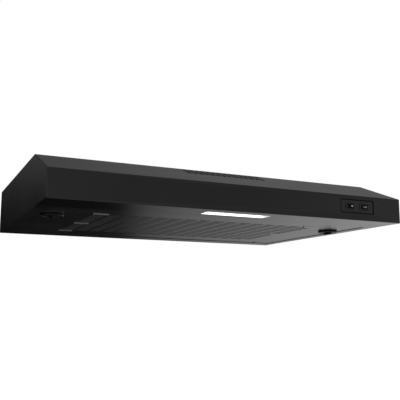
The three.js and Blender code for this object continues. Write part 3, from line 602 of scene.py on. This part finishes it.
def smooth_sheet(piece, angle):
    """Smooth shading round the folds, ruled by the flats on either side."""
    slope_angle = math.atan2(shell_high.z - UNDER_Z - FASCIA_HEIGHT, SLOPE_DEPTH)
    slope_normal = Vector((0, -math.sin(slope_angle), math.cos(slope_angle)))

    def on_flat(face):
        squarest = max(abs(part) for part in face.normal)
        return max(squarest, abs(face.normal.dot(slope_normal))) > SAME_DIRECTION

    make_active(piece)
    bpy.ops.object.shade_smooth_by_angle(angle=math.radians(angle))
    start_edit(piece)
    pick(piece, "faces", on_flat)
    bpy.ops.mesh.mod_weighted_strength(set=True, face_strength="STRONG")
    end_edit()
    apply_modifier(piece, "WEIGHTED_NORMAL", keep_sharp=True, use_face_influence=True)


def folded_shell():
    """Hood shell: its long folds get their bend radius, and its ends lose their burr."""
    piece = merged_copy("hood_shell", "hood_shell_skin")
    folds = [
        (FRONT_Y, UNDER_Z),
        (FRONT_Y, UNDER_Z + FASCIA_HEIGHT),
        (FRONT_Y + SLOPE_DEPTH, shell_high.z),
        (FRONT_Y + STRIP_DEPTH, UNDER_Z),
    ]

    def on_fold(edge):
        place = edge.verts[0].co
        return runs_along(edge, 0) and any(
            near(place.y, y) and near(place.z, z) for y, z in folds
        )

    def at_end(edge):
        first, second = edge.verts[0].co, edge.verts[1].co
        return near(first.x, second.x) and near(abs(first.x), HALF_WIDTH)

    start_edit(piece)
    bevel_where(piece, on_fold, FOLD_BEVEL, 4)
    bevel_where(piece, lambda e: at_end(e) and e.calc_face_angle(0) > 1, SHELL_RIM, 3)
    end_edit()
    smooth_sheet(piece, 25)
    stand_for(piece, "hood_shell")


def folded_side(side):
    """Side panel: the folds along its bottom edge and along its inner lip are rounded."""
    node = f"{side}_side_panel"
    piece = merged_copy(node, f"{node}_skin")
    low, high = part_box(node)
    outer = low.x if side == "left" else high.x
    inner = high.x if side == "left" else low.x

    def on_fold(edge):
        place = edge.verts[0].co
        on_flange = max(vert.co.y for vert in edge.verts) < BACK_Y - REAR_FLANGE
        return on_flange and runs_along(edge, 1) and near(place.z, low.z) and (
            near(place.x, outer) or near(place.x, inner)
        )

    start_edit(piece)
    bevel_where(piece, on_fold, FOLD_BEVEL, 4)
    end_edit()
    round_edges(piece, CUT_EDGE, 2, 30)
    smooth_sheet(piece, 30)
    stand_for(piece, node)


def folded_rear():
    """Rear panel: the folds along its bottom flange and its rear face are rounded."""
    piece = merged_copy("rear_panel", "rear_panel_skin")
    low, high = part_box("rear_panel")

    def on_fold(edge):
        place = edge.verts[0].co
        at_flange = near(place.z, low.z)
        return runs_along(edge, 0) and (at_flange or near(place.y, high.y))

    start_edit(piece)
    bevel_where(piece, on_fold, FOLD_BEVEL, 4)
    end_edit()
    round_edges(piece, CUT_EDGE, 2, 30)
    smooth_sheet(piece, 30)
    stand_for(piece, "rear_panel")


# ------------------------------------------------------------------ filter panel


def slat(name):
    """One slat of the grille: its front edge is rolled over by the punch."""
    half = WINDOW_WIDTH / 2
    piece = box_piece(name, (-half, -SLAT_DEPTH / 2, 0), (half, SLAT_DEPTH / 2, SHEET))

    def at_bottom(edge, toward):
        return all(
            vert.co.y * toward > 0 and vert.co.z < SHEET / 2 for vert in edge.verts
        )

    start_edit(piece)
    bevel_where(piece, lambda edge: at_bottom(edge, -1), SLAT_ROLL, 4)
    bevel_where(piece, lambda edge: at_bottom(edge, 1), SLAT_REAR_ROLL, 2)
    end_edit()
    return piece


def lance(name):
    """A half louvre pressed down out of the panel: a shallow ramp, open at its rear."""
    half = LANCE_WIDTH / 2
    piece = box_piece(name, (-half, 0, -LANCE_DROP), (half, LANCE_DEPTH, 0))

    def at_bottom(edge):
        return all(vert.co.z < -LANCE_DROP / 2 for vert in edge.verts)

    def at_front(edge):
        return all(vert.co.y < LANCE_DEPTH / 2 for vert in edge.verts)

    start_edit(piece)
    pick(piece, "edges", lambda edge: at_bottom(edge) and at_front(edge))
    bpy.ops.transform.translate(value=(0, 0, LANCE_DROP * LANCE_RAMP))
    bevel_where(piece, at_bottom, LANCE_ROUND, 3)
    bevel_where(piece, lambda edge: runs_along(edge, 2), LANCE_CORNER, 2)
    end_edit()
    return piece


def panel_strip(x0, x1, y0, y1, top=SHEET, radius=0.0):
    """A flat strip of the panel, or a wall on it when its top is higher."""
    low = (x0, y0, PANEL_Z)
    return box_piece("strip", low, (x1, y1, PANEL_Z + top), radius, 3)


def panel_margins(grille_front, grille_rear):
    """The plain metal round the grille, the bars between its columns, lips and hinge tabs."""
    right = panel_high.x
    grille_half = (COLUMNS - 1) * COLUMN_PITCH / 2 + WINDOW_WIDTH / 2
    bar = COLUMN_PITCH - WINDOW_WIDTH
    front, rear = panel_low.y, panel_high.y
    notch_front = rear - NOTCH_DEPTH
    parts = [
        panel_strip(-right, right, front + SHEET, grille_front),
        panel_strip(-right, right, grille_rear, notch_front),
        panel_strip(-right, right, front, front + SHEET, FRONT_LIP, LIP_ROUND),
        panel_strip(-NOTCH_INNER, NOTCH_INNER, notch_front, rear - SHEET),
        panel_strip(-NOTCH_INNER, NOTCH_INNER, rear - SHEET, rear, REAR_LIP, LIP_ROUND),
    ]
    for side in (-1, 1):
        inner, outer = sorted((side * grille_half, side * right))
        parts.append(panel_strip(inner, outer, grille_front, grille_rear))
        inner, outer = sorted((side * NOTCH_OUTER, side * right))
        parts.append(panel_strip(inner, outer, notch_front, rear - SHEET))
        parts.append(panel_strip(inner, outer, rear - SHEET, rear, REAR_LIP, LIP_ROUND))
        middle = side * HINGE_SPAN
        parts.append(panel_strip(
            middle - SHEET, middle + SHEET, rear - TAB_DEPTH, rear - SHEET,
            panel_high.z - PANEL_Z, LIP_ROUND,
        ))
    for column in range(COLUMNS - 1):
        x = (column - COLUMNS / 2 + 1) * COLUMN_PITCH
        parts.append(panel_strip(x - bar / 2, x + bar / 2, grille_front, grille_rear))
    return parts


def louvred_panel(grille_front, grille_rear):
    """The filter panel: 16 columns of narrow slots between slats."""
    slat_pitch = (grille_rear - grille_front) / SLOTS_PER_COLUMN
    parts = panel_margins(grille_front, grille_rear)
    model = slat("slat")
    for column in range(COLUMNS):
        x = (column - (COLUMNS - 1) / 2) * COLUMN_PITCH
        for index in range(1, SLOTS_PER_COLUMN):
            place = Matrix.Translation((x, grille_front + index * slat_pitch, PANEL_Z))
            parts.append(twin(model, "slat", place))
    bpy.data.objects.remove(model)
    piece = join(parts, "filter_panel_skin")
    smooth(piece, 30)
    stand_for(piece, "filter_panel")


def panel_lances(grille_front, grille_rear):
    """Three pressed lances at either side of the grille, in a pale metal finish that paints the
    highlights on their edges.
    """
    middle = (grille_front + grille_rear) / 2 - LANCE_DEPTH / 2
    model = lance("lance")
    lances = []
    for side in (-1, 1):
        for y in (grille_front - LANCE_DEPTH, middle, grille_rear - LANCE_DEPTH / 2):
            place = Matrix.Translation((side * LANCE_OFFSET, y, PANEL_Z))
            lances.append(twin(model, "lance", place))
    bpy.data.objects.remove(model)
    piece = join(lances, "panel_lances")
    smooth(piece, 30)
    # The lances' pale metal finish is a painted highlight.
    add_to(piece, BODY_OF_NODE["filter_panel"], "black_paint", LANCE_HIGHLIGHT_FINISH)


def grille_panel():
    grille_front = panel_low.y + GRILLE_FRONT_MARGIN
    grille_rear = panel_high.y - GRILLE_REAR_MARGIN
    louvred_panel(grille_front, grille_rear)
    panel_lances(grille_front, grille_rear)


def corrugated_mesh():
    """Layers of expanded aluminium foil, pressed into waves that run across the filter."""
    low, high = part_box("grease_filter_mesh")
    piece = box_piece("grease_filter_mesh_skin", low, high)
    start_edit(piece)
    pick(piece, "edges", lambda edge: runs_along(edge, 0))
    bpy.ops.mesh.subdivide(number_cuts=MESH_WAVES * 2 - 1)
    pitch = (high.x - low.x) / (MESH_WAVES * 2)

    def on_crest(edge):
        place = edge.verts[0].co
        return runs_along(edge, 1) and round((place.x - low.x) / pitch) % 2 == 1

    pick(piece, "edges", on_crest)
    bpy.ops.transform.resize(
        value=(1, 1, MESH_SQUEEZE), center_override=(0, 0, (low.z + high.z) / 2)
    )
    end_edit()
    smooth(piece, 20)
    stand_for(piece, "grease_filter_mesh")


def charcoal_pad():
    """A foam pad with its border pressed thinner, where it is sealed."""
    low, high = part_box("charcoal_pad")
    middle_z = (low.z + high.z) / 2
    piece = box_piece("charcoal_pad_skin", low, high)

    def on_border(edge, up):
        at_side = all(near(abs(vert.co.x), high.x) for vert in edge.verts)
        at_end = all(near(vert.co.y, low.y) or near(vert.co.y, high.y) for vert in edge.verts)
        return (at_side or at_end) and all(
            (vert.co.z - middle_z) * up > 0 for vert in edge.verts
        )

    start_edit(piece)
    for up in (1, -1):
        pick(piece, "faces", lambda face: face.normal.z * up > 0.9)
        bpy.ops.mesh.inset(thickness=PAD_BORDER)
        pick(piece, "edges", lambda edge: on_border(edge, up))
        bpy.ops.transform.translate(value=(0, 0, -up * PAD_PRESS))
    end_edit()
    soften(piece, PAD_ROUND, 3, 10)
    stand_for(piece, "charcoal_pad")


# ------------------------------------------------------------------ knobs


def knob_disc(centre, radius, face, rim_top):
    """A disc with a rounded rim and a shallow dish, lightly crowned in its middle."""
    middle = (centre.x, centre.y, (rim_top + face) / 2)
    disc = cylinder_piece("disc", middle, radius, rim_top - face, 96)
    start_edit(disc)
    pick(disc, "faces", lambda f: f.normal.z < -0.9)
    bpy.ops.mesh.inset(thickness=KNOB_LAND)
    bpy.ops.mesh.inset(thickness=DISH_SLOPE)
    bpy.ops.transform.translate(value=(0, 0, DISH_DEPTH))
    bpy.ops.mesh.inset(thickness=CROWN_SLOPE)
    bpy.ops.transform.translate(value=(0, 0, -CROWN_HEIGHT))
    bevel_where(disc, lambda e: on_rim(e, centre, radius, face), KNOB_FACE_ROUND, 5)
    bevel_where(disc, lambda e: on_rim(e, centre, radius, rim_top), KNOB_BACK_ROUND, 4)
    end_edit()
    return disc


def knob_grip(centre, bottom, face):
    """The bar that the fingers turn, narrower toward its free edge."""
    grip = box_piece(
        "grip", (centre.x - GRIP_WIDTH / 2, centre.y - GRIP_LENGTH / 2, bottom),
        (centre.x + GRIP_WIDTH / 2, centre.y + GRIP_LENGTH / 2, face + GRIP_ROOT),
    )
    start_edit(grip)
    pick(grip, "faces", lambda f: f.normal.z < -0.9)
    bpy.ops.transform.resize(value=GRIP_TAPER, center_override=(centre.x, centre.y, bottom))
    bevel_where(grip, lambda edge: True, GRIP_ROUND, 4)
    end_edit()
    return grip


def knob_shaft(centre, bottom, top):
    middle = (centre.x, centre.y, (bottom + top) / 2)
    return cylinder_piece("shaft", middle, SHAFT_RADIUS, top - bottom, 32)


def latch_knob(side):
    """A dished disc with a grip bar, on the shaft that goes up through the panel."""
    node = f"{side}_latch_knob"
    low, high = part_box(node)
    centre = (low + high) / 2
    rim_top = PANEL_Z - KNOB_GAP
    face = rim_top - KNOB_THICKNESS
    parts = [
        knob_disc(centre, (high.x - low.x) / 2, face, rim_top),
        knob_grip(centre, low.z, face),
        knob_shaft(centre, rim_top - SHAFT_ROOT, high.z),
    ]
    piece = join(parts, f"{node}_skin")
    smooth(piece, 35)
    stand_for(piece, node, KNOB_BLACK)


# ------------------------------------------------------------------ switches


def cut_rocker_window(pieces, name):
    """Cuts the opening round one switch's frame through the plate's pieces."""
    plate_low, plate_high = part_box("switch_plate")
    low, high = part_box(f"{name}_switch_body")
    window = box_piece(
        "window", (low.x - WINDOW_GAP, plate_low.y - CUT_THROUGH, low.z - WINDOW_GAP),
        (high.x + WINDOW_GAP, plate_high.y + CUT_THROUGH, high.z + WINDOW_GAP),
    )
    for piece in pieces:
        apply_modifier(piece, "BOOLEAN", object=window, operation="DIFFERENCE")
    bpy.data.objects.remove(window)


def switch_plate():
    """The plate's face with a rounded rim, on a wider backing whose near-black, low-gloss
    finish paints the shade in the groove round the face, with two windows cut.
    """
    low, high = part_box("switch_plate")
    rim = Vector((PLATE_BACKING, 0, PLATE_BACKING))
    backing = box_piece(
        "switch_plate_backing_shade", (low.x, high.y - SHEET * 1.5, low.z), high, BACKING_EDGE
    )
    face_high = (high.x - rim.x, high.y - SHEET, high.z - rim.z)
    face = box_piece("switch_plate_skin", low + rim, face_high)
    start_edit(face)
    bevel_where(face, lambda edge: runs_along(edge, 1), PLATE_CORNER, 6)
    bevel_where(
        face, lambda edge: all(near(vert.co.y, low.y) for vert in edge.verts),
        PLATE_RIM_ROUND, 3,
    )
    end_edit()
    for name in ("light", "fan"):
        cut_rocker_window((face, backing), name)
    for piece in (face, backing):
        smooth(piece, 40)
    stand_for(face, "switch_plate", PLATE_BLACK)
    # The backing's near-black, low-gloss finish is painted shade for the groove round the
    # plate's face.
    add_to(backing, BODY_OF_NODE["switch_plate"], "black_plastic", ROCKER_BLACK_AND_GROOVE_SHADE)


def rocker(name):
    """A switch's rocker, its edges rounded to the finger."""
    node = f"{name}_rocker"
    piece = merged_copy(node, f"{node}_skin")
    soften(piece, ROCKER_ROUND, 3, 20)
    stand_for(piece, node, ROCKER_BLACK_AND_GROOVE_SHADE)


def rocker_mark(name, switch, offset_x, width, height):
    """A small printed mark on the face of a switch's rocker."""
    low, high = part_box(f"{switch}_rocker")
    middle = (low + high) / 2
    x = middle.x + offset_x
    piece = box_piece(
        name,
        (x - width / 2, low.y + MARK_INSET, middle.z - height / 2),
        (x + width / 2, low.y + MARK_DEPTH, middle.z + height / 2),
        MARK_CORNER,
    )
    smooth(piece, 30)
    add_to(piece, f"{switch}_button", "white_nylon", WHITE_MARK)


def switches():
    switch_plate()
    for name in ("light", "fan"):
        softened_node(f"{name}_switch_body", FRAME_ROUND, 3, 40)
        rocker(name)
    rocker_mark("light_mark", "light", 3.4 * MM, 3.4 * MM, 3.4 * MM)
    rocker_mark("fan_mark_low", "fan", -1.6 * MM, 2.0 * MM, 2.0 * MM)
    rocker_mark("fan_mark_high", "fan", 3.4 * MM, 3.4 * MM, 2.6 * MM)


# ------------------------------------------------------------------ screws


def cut_thread(head, middle, length):
    """Draws the shank out of the picked faces in steps, narrow at each thread's root."""
    for index in range(2 * THREAD_STEPS):
        bpy.ops.mesh.extrude_region()
        bpy.ops.transform.translate(value=(0, 0, length / (2 * THREAD_STEPS)))
        scale = THREAD_ROOT if index % 2 == 0 else 1 / THREAD_ROOT
        bpy.ops.transform.resize(value=(scale, scale, 1), center_override=middle)


def cut_cross(head, centre, radius, low_z, high_z):
    """The cross recess of a screw head."""
    long, short = radius * RECESS_LONG, radius * RECESS_SHORT
    for x, y in ((long, short), (short, long)):
        bar = box_piece(
            "recess", (centre.x - x, centre.y - y, low_z), (centre.x + x, centre.y + y, high_z)
        )
        apply_modifier(head, "BOOLEAN", object=bar, operation="DIFFERENCE", solver="EXACT")
        bpy.data.objects.remove(bar)


def pan_screw(name, low, high, head_down):
    """A pan-head cross-recess screw in the box between two corners."""
    centre = (low + high) / 2
    radius = (high.x - low.x) / 2
    head_height = radius * HEAD_SHARE
    facing = -1 if head_down else 1
    top, tip = (low.z, high.z) if head_down else (high.z, low.z)
    seat = top - facing * head_height
    middle = Vector((centre.x, centre.y, (top + seat) / 2))
    head = cylinder_piece(name, middle, radius, head_height, 24)
    start_edit(head)
    pick(head, "faces", lambda face: face.normal.z * facing < -0.9)
    bpy.ops.mesh.inset(thickness=radius * SHOULDER_SHARE)
    cut_thread(head, middle, tip - seat)
    bevel_where(
        head, lambda e: on_rim(e, centre, radius, top), head_height * HEAD_ROUND, 4
    )
    end_edit()
    above, below = (RECESS_DEPTH, 1) if head_down else (1, RECESS_DEPTH)
    cut_cross(head, centre, radius, top - head_height * below, top + head_height * above)
    smooth(head, 40)
    return head


def screws():
    """Screws of one size are modelled once and copied to their places."""
    sets = [
        ([f"collar_screw_{n}" for n in range(1, 5)], False),
        ([f"blower_screw_{n}" for n in range(1, 5)], True),
        (["ground_screw"], True),
        (["cover_screw"], True),
        (["left_latch_screw", "right_latch_screw"], False),
    ]
    for nodes, head_down in sets:
        low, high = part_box(nodes[0])
        model = pan_screw(f"{nodes[0]}_skin", low, high, head_down)
        for node in nodes[1:]:
            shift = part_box(node)[0] - low
            stand_for(twin(model, f"{node}_skin", Matrix.Translation(shift)), node)
        stand_for(model, nodes[0])


# ------------------------------------------------------------------ lamp and electrics


def led_chips():
    """A row of light sources on the underside of the lamp board."""
    low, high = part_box("lamp_board")
    half_width, half_depth = CHIP_WIDTH / 2, CHIP_DEPTH / 2
    model = box_piece(
        "chip", (-half_width, -half_depth, -CHIP_HEIGHT), (half_width, half_depth, 0), CHIP_EDGE
    )
    chips = []
    for index in range(LED_COUNT):
        x = (index - (LED_COUNT - 1) / 2) * (high.x - low.x) / LED_COUNT
        place = Matrix.Translation((x, (low.y + high.y) / 2, low.z))
        chips.append(twin(model, "chip", place))
    bpy.data.objects.remove(model)
    piece = join(chips, "led_chips")
    smooth(piece, 30)
    add_to(piece, "housing", "opal_lens", LED_PHOSPHOR)


def lamp():
    softened_node("lamp_lens", 0.4 * MM, 3, 40)
    softened_node("lamp_housing", 0.8 * MM, 3, 40)
    softened_node("lamp_board", 0.2 * MM, 2, 40)
    led_chips()
    softened_node("lamp_driver", 1.2 * MM, 3, 40)


def terminal_block():
    """A row of ways, each with a screw well on its underside."""
    low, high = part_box("terminal_block")
    piece = box_piece("terminal_block_skin", low, high)
    start_edit(piece)
    for index in range(1, TERMINAL_WAYS):
        y = low.y + (high.y - low.y) * index / TERMINAL_WAYS
        bpy.ops.mesh.select_all(action="SELECT")
        bpy.ops.mesh.bisect(plane_co=(0, y, 0), plane_no=(0, 1, 0))
    pick(piece, "faces", lambda face: face.normal.z < -0.9)
    bpy.ops.mesh.inset(thickness=WELL_WALL, use_individual=True)
    bpy.ops.mesh.extrude_region()
    bpy.ops.transform.translate(value=(0, 0, WELL_DEPTH))
    end_edit()
    soften(piece, 0.4 * MM, 2, 40)
    stand_for(piece, "terminal_block")


def capacitor():
    """A can with a rolled rim at one end and two blade terminals."""
    low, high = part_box("capacitor")
    centre = (low + high) / 2
    radius = (high.z - low.z) / 2
    piece = cylinder_piece(
        "capacitor_skin", centre, radius, high.x - low.x, turn=(0, math.pi / 2, 0)
    )

    def at_end(edge):
        return all(near(vert.co.x, low.x) or near(vert.co.x, high.x) for vert in edge.verts)

    start_edit(piece)
    pick(piece, "faces", lambda face: face.normal.x > 0.9)
    bpy.ops.mesh.inset(thickness=CAN_RIM)
    bpy.ops.transform.translate(value=(-CAN_RECESS, 0, 0))
    bevel_where(piece, lambda e: at_end(e) and e.calc_face_angle(0) > 0.5, CAN_ROUND, 3)
    end_edit()
    parts = [piece]
    for side in (-1, 1):
        y = centre.y + side * BLADE_OFFSET
        parts.append(box_piece(
            "blade",
            (high.x - BLADE_LENGTH, y - BLADE_THICKNESS / 2, centre.z - BLADE_WIDTH / 2),
            (high.x - BLADE_SETBACK, y + BLADE_THICKNESS / 2, centre.z + BLADE_WIDTH / 2),
            BLADE_EDGE, 2,
        ))
    piece = join(parts, "capacitor_skin")
    smooth(piece, 35)
    stand_for(piece, "capacitor")


# Rounding in mm, and the angle in degrees above which an edge is rounded.
SOFTENED_NODES = {
    "grease_filter_frame": (0.5, 35), "left_filter_clip": (0.3, 35),
    "right_filter_clip": (0.3, 35), "left_hinge_pin": (0.3, 35), "right_hinge_pin": (0.3, 35),
    "left_hinge_bracket": (0.4, 35), "right_hinge_bracket": (0.4, 35),
    "left_latch_tongue": (0.4, 35), "right_latch_tongue": (0.4, 35),
    "duct_collar": (0.35, 35), "damper_flap": (0.25, 35), "damper_pin": (0.3, 35),
    "blower_housing": (0.5, 35), "inlet_ring": (0.4, 35), "impeller": (0.2, 50),
    "motor_body": (0.8, 35), "motor_bracket": (0.4, 35), "motor_shaft": (0.3, 35),
    "shaft_nut": (0.4, 35), "wiring_box": (0.3, 35), "wiring_box_cover": (0.3, 35),
    "cable_gland": (0.5, 35), "gland_nut": (0.4, 35), "capacitor_clip": (0.3, 35),
    "switch_lead": (0.05, 70), "lamp_lead": (0.05, 70),
}


def softened_parts():
    for node, (width, angle) in SOFTENED_NODES.items():
        softened_node(node, width * MM, 2, angle)


# ------------------------------------------------------------------ stage, camera and light

CAMERA_PLACE = Vector((-0.5779, -1.3445, -0.2737))
CAMERA_YAW = math.radians(25.435)
CAMERA_PITCH = math.radians(9.636)
CAMERA_LENS = 55.13
FLOOR_DROP = 0.75
FLOOR_SIZE = 60
# Brightness against the height of a direction, and against its bearing in degrees.
SKY_STOPS = [
    (-1.0, 0.26), (-0.7, 0.24), (-0.5, 0.06), (-0.35, 0.004), (0.10, 0.002), (0.14, 0.006),
    (0.175, 0.032), (0.225, 0.105), (0.30, 0.16), (0.5, 0.19), (0.7, 0.34), (1.0, 0.7),
]
WALL_STOPS = [
    (17.8, 0.0), (19.0, 0.05), (20.3, 0.13), (23.4, 0.225), (27.3, 0.305), (33.0, 0.43),
    (38.3, 0.53), (43.0, 0.68), (80.0, 0.75),
]


def place_camera():
    data = bpy.data.cameras.new("camera")
    data.lens = CAMERA_LENS
    data.sensor_width = 36
    data.clip_start = 0.01
    data.clip_end = 100
    camera = bpy.data.objects.new("camera", data)
    bpy.context.scene.collection.objects.link(camera)
    camera.location = CAMERA_PLACE
    camera.rotation_euler = (math.pi / 2 + CAMERA_PITCH, 0, -CAMERA_YAW)
    bpy.context.scene.camera = camera


def lay_floor():
    """A plain pale floor, at the height of a worktop under the hood."""
    deselect_all()
    bpy.ops.mesh.primitive_plane_add(size=FLOOR_SIZE, location=(0, 0, UNDER_Z - FLOOR_DROP))
    floor = bpy.context.active_object
    floor.name = "floor"
    material = bpy.data.materials.new("floor_white")
    material.use_nodes = True
    shader = material.node_tree.nodes["Principled BSDF"]
    shader.inputs["Base Color"].default_value = (0.9, 0.9, 0.9, 1)
    shader.inputs["Roughness"].default_value = 0.9
    shader.inputs["Emission Color"].default_value = (1, 1, 1, 1)
    shader.inputs["Emission Strength"].default_value = 1.0
    floor.data.materials.append(material)
    floor.visible_glossy = False
    floor.visible_diffuse = False
    floor.visible_shadow = False


def brightness_ramp(tree, value, stops):
    """Brightness against a value, straight between the stops."""
    low, high = stops[0][0], stops[-1][0]
    spread = tree.nodes.new("ShaderNodeMapRange")
    spread.inputs["From Min"].default_value = low
    spread.inputs["From Max"].default_value = high
    link(tree, value, spread.inputs["Value"])
    ramp = tree.nodes.new("ShaderNodeValToRGB")
    elements = ramp.color_ramp.elements
    while len(elements) < len(stops):
        elements.new(0.5)
    for element, (place, brightness) in zip(elements, stops):
        element.position = (place - low) / (high - low)
        element.color = (brightness, brightness, brightness, 1)
    link(tree, spread.outputs["Result"], ramp.inputs["Fac"])
    return ramp.outputs["Color"]


def light_behind(tree, azimuth, z):
    """Behind the hood: dark low on the left, lighter to either side, a pale wall on the
    right."""
    middle_gain, right_gain, left_gain = 0.51, 0.65, 0.45
    right = smooth_step(tree, azimuth, 3, 40)
    gain = math_node(tree, "MULTIPLY_ADD", right, right_gain, middle_gain)
    left = smooth_step(tree, azimuth, -4, -12)
    gain = math_node(tree, "MULTIPLY_ADD", left, left_gain, gain)
    sky = math_node(tree, "MULTIPLY", brightness_ramp(tree, z, SKY_STOPS), gain)
    below = math_node(tree, "MULTIPLY", z, -1.0)
    band = smooth_step(tree, below, -0.13, -0.03)
    wall = math_node(tree, "MULTIPLY", brightness_ramp(tree, azimuth, WALL_STOPS), band)
    return math_node(tree, "MAXIMUM", sky, wall)


def light_in_front(tree, x, forward, z):
    """In front of the hood: dimmest at one bearing, lighter to either side and high up."""
    dim_bearing, least, swing_gain, swing_limit, high_gain = 0.47, 0.27, 1.2, 0.35, 0.35
    bearing = math_node(tree, "SUBTRACT", math_node(tree, "ARCTAN2", x, forward), dim_bearing)
    swing = math_node(tree, "MULTIPLY", bearing, bearing)
    swing = math_node(tree, "MINIMUM", swing, swing_limit)
    level = math_node(tree, "MULTIPLY_ADD", swing, swing_gain, least)
    high = smooth_step(tree, z, 0.3, 0.9)
    return math_node(tree, "MULTIPLY_ADD", high, high_gain, level)


def side_strip(tree, x, z):
    """A narrow upright light to the left, for the side panel to mirror."""
    across = smooth_step(tree, x, -0.86, -0.96)
    strip = math_node(tree, "MULTIPLY", across, smooth_step(tree, z, 0.45, 0.3))
    return math_node(tree, "MULTIPLY", strip, smooth_step(tree, z, 0.0, 0.12))


def plain_light(tree, strength):
    """White light of one strength, or of the strength another node gives."""
    light = tree.nodes.new("ShaderNodeBackground")
    light.inputs["Color"].default_value = (1, 1, 1, 1)
    feed(tree, strength, light.inputs["Strength"])
    return light.outputs[0]


STRIP_BRIGHTNESS = 2.2
OVERHEAD_BRIGHTNESS = 0.6


def light_world():
    """A white studio to look at, with softer light falling on the hood."""
    world = bpy.data.worlds.new("studio")
    bpy.context.scene.world = world
    world.use_nodes = True
    tree = world.node_tree
    tree.nodes.clear()
    split = tree.nodes.new("ShaderNodeSeparateXYZ")
    link(tree, tree.nodes.new("ShaderNodeTexCoord").outputs["Generated"], split.inputs[0])
    x, y, z = split.outputs
    azimuth = math_node(tree, "MULTIPLY", math_node(tree, "ARCTAN2", x, y), 180 / math.pi)
    forward = math_node(tree, "MULTIPLY", y, -1.0)
    behind = light_behind(tree, azimuth, z)
    front = light_in_front(tree, x, forward, z)
    around = mix_node(tree, smooth_step(tree, forward, -0.3, 0.3), behind, front)
    strip = side_strip(tree, x, z)
    around = math_node(tree, "MULTIPLY_ADD", strip, STRIP_BRIGHTNESS, around)
    overhead = smooth_step(tree, z, 0.6, 0.85)
    light = mix_node(tree, overhead, around, OVERHEAD_BRIGHTNESS)
    choose = tree.nodes.new("ShaderNodeMixShader")
    link(tree, tree.nodes.new("ShaderNodeLightPath").outputs["Is Camera Ray"], choose.inputs[0])
    link(tree, plain_light(tree, light), choose.inputs[1])
    link(tree, plain_light(tree, 1.0), choose.inputs[2])
    out = tree.nodes.new("ShaderNodeOutputWorld")
    link(tree, choose.outputs[0], out.inputs["Surface"])


bpy.context.scene.view_settings.view_transform = "Standard"
place_camera()
lay_floor()
light_world()
finish_cad_nodes()
folded_shell()
for side in ("left", "right"):
    folded_side(side)
    latch_knob(side)
folded_rear()
grille_panel()
corrugated_mesh()
charcoal_pad()
switches()
screws()
lamp()
terminal_block()
capacitor()
softened_parts()
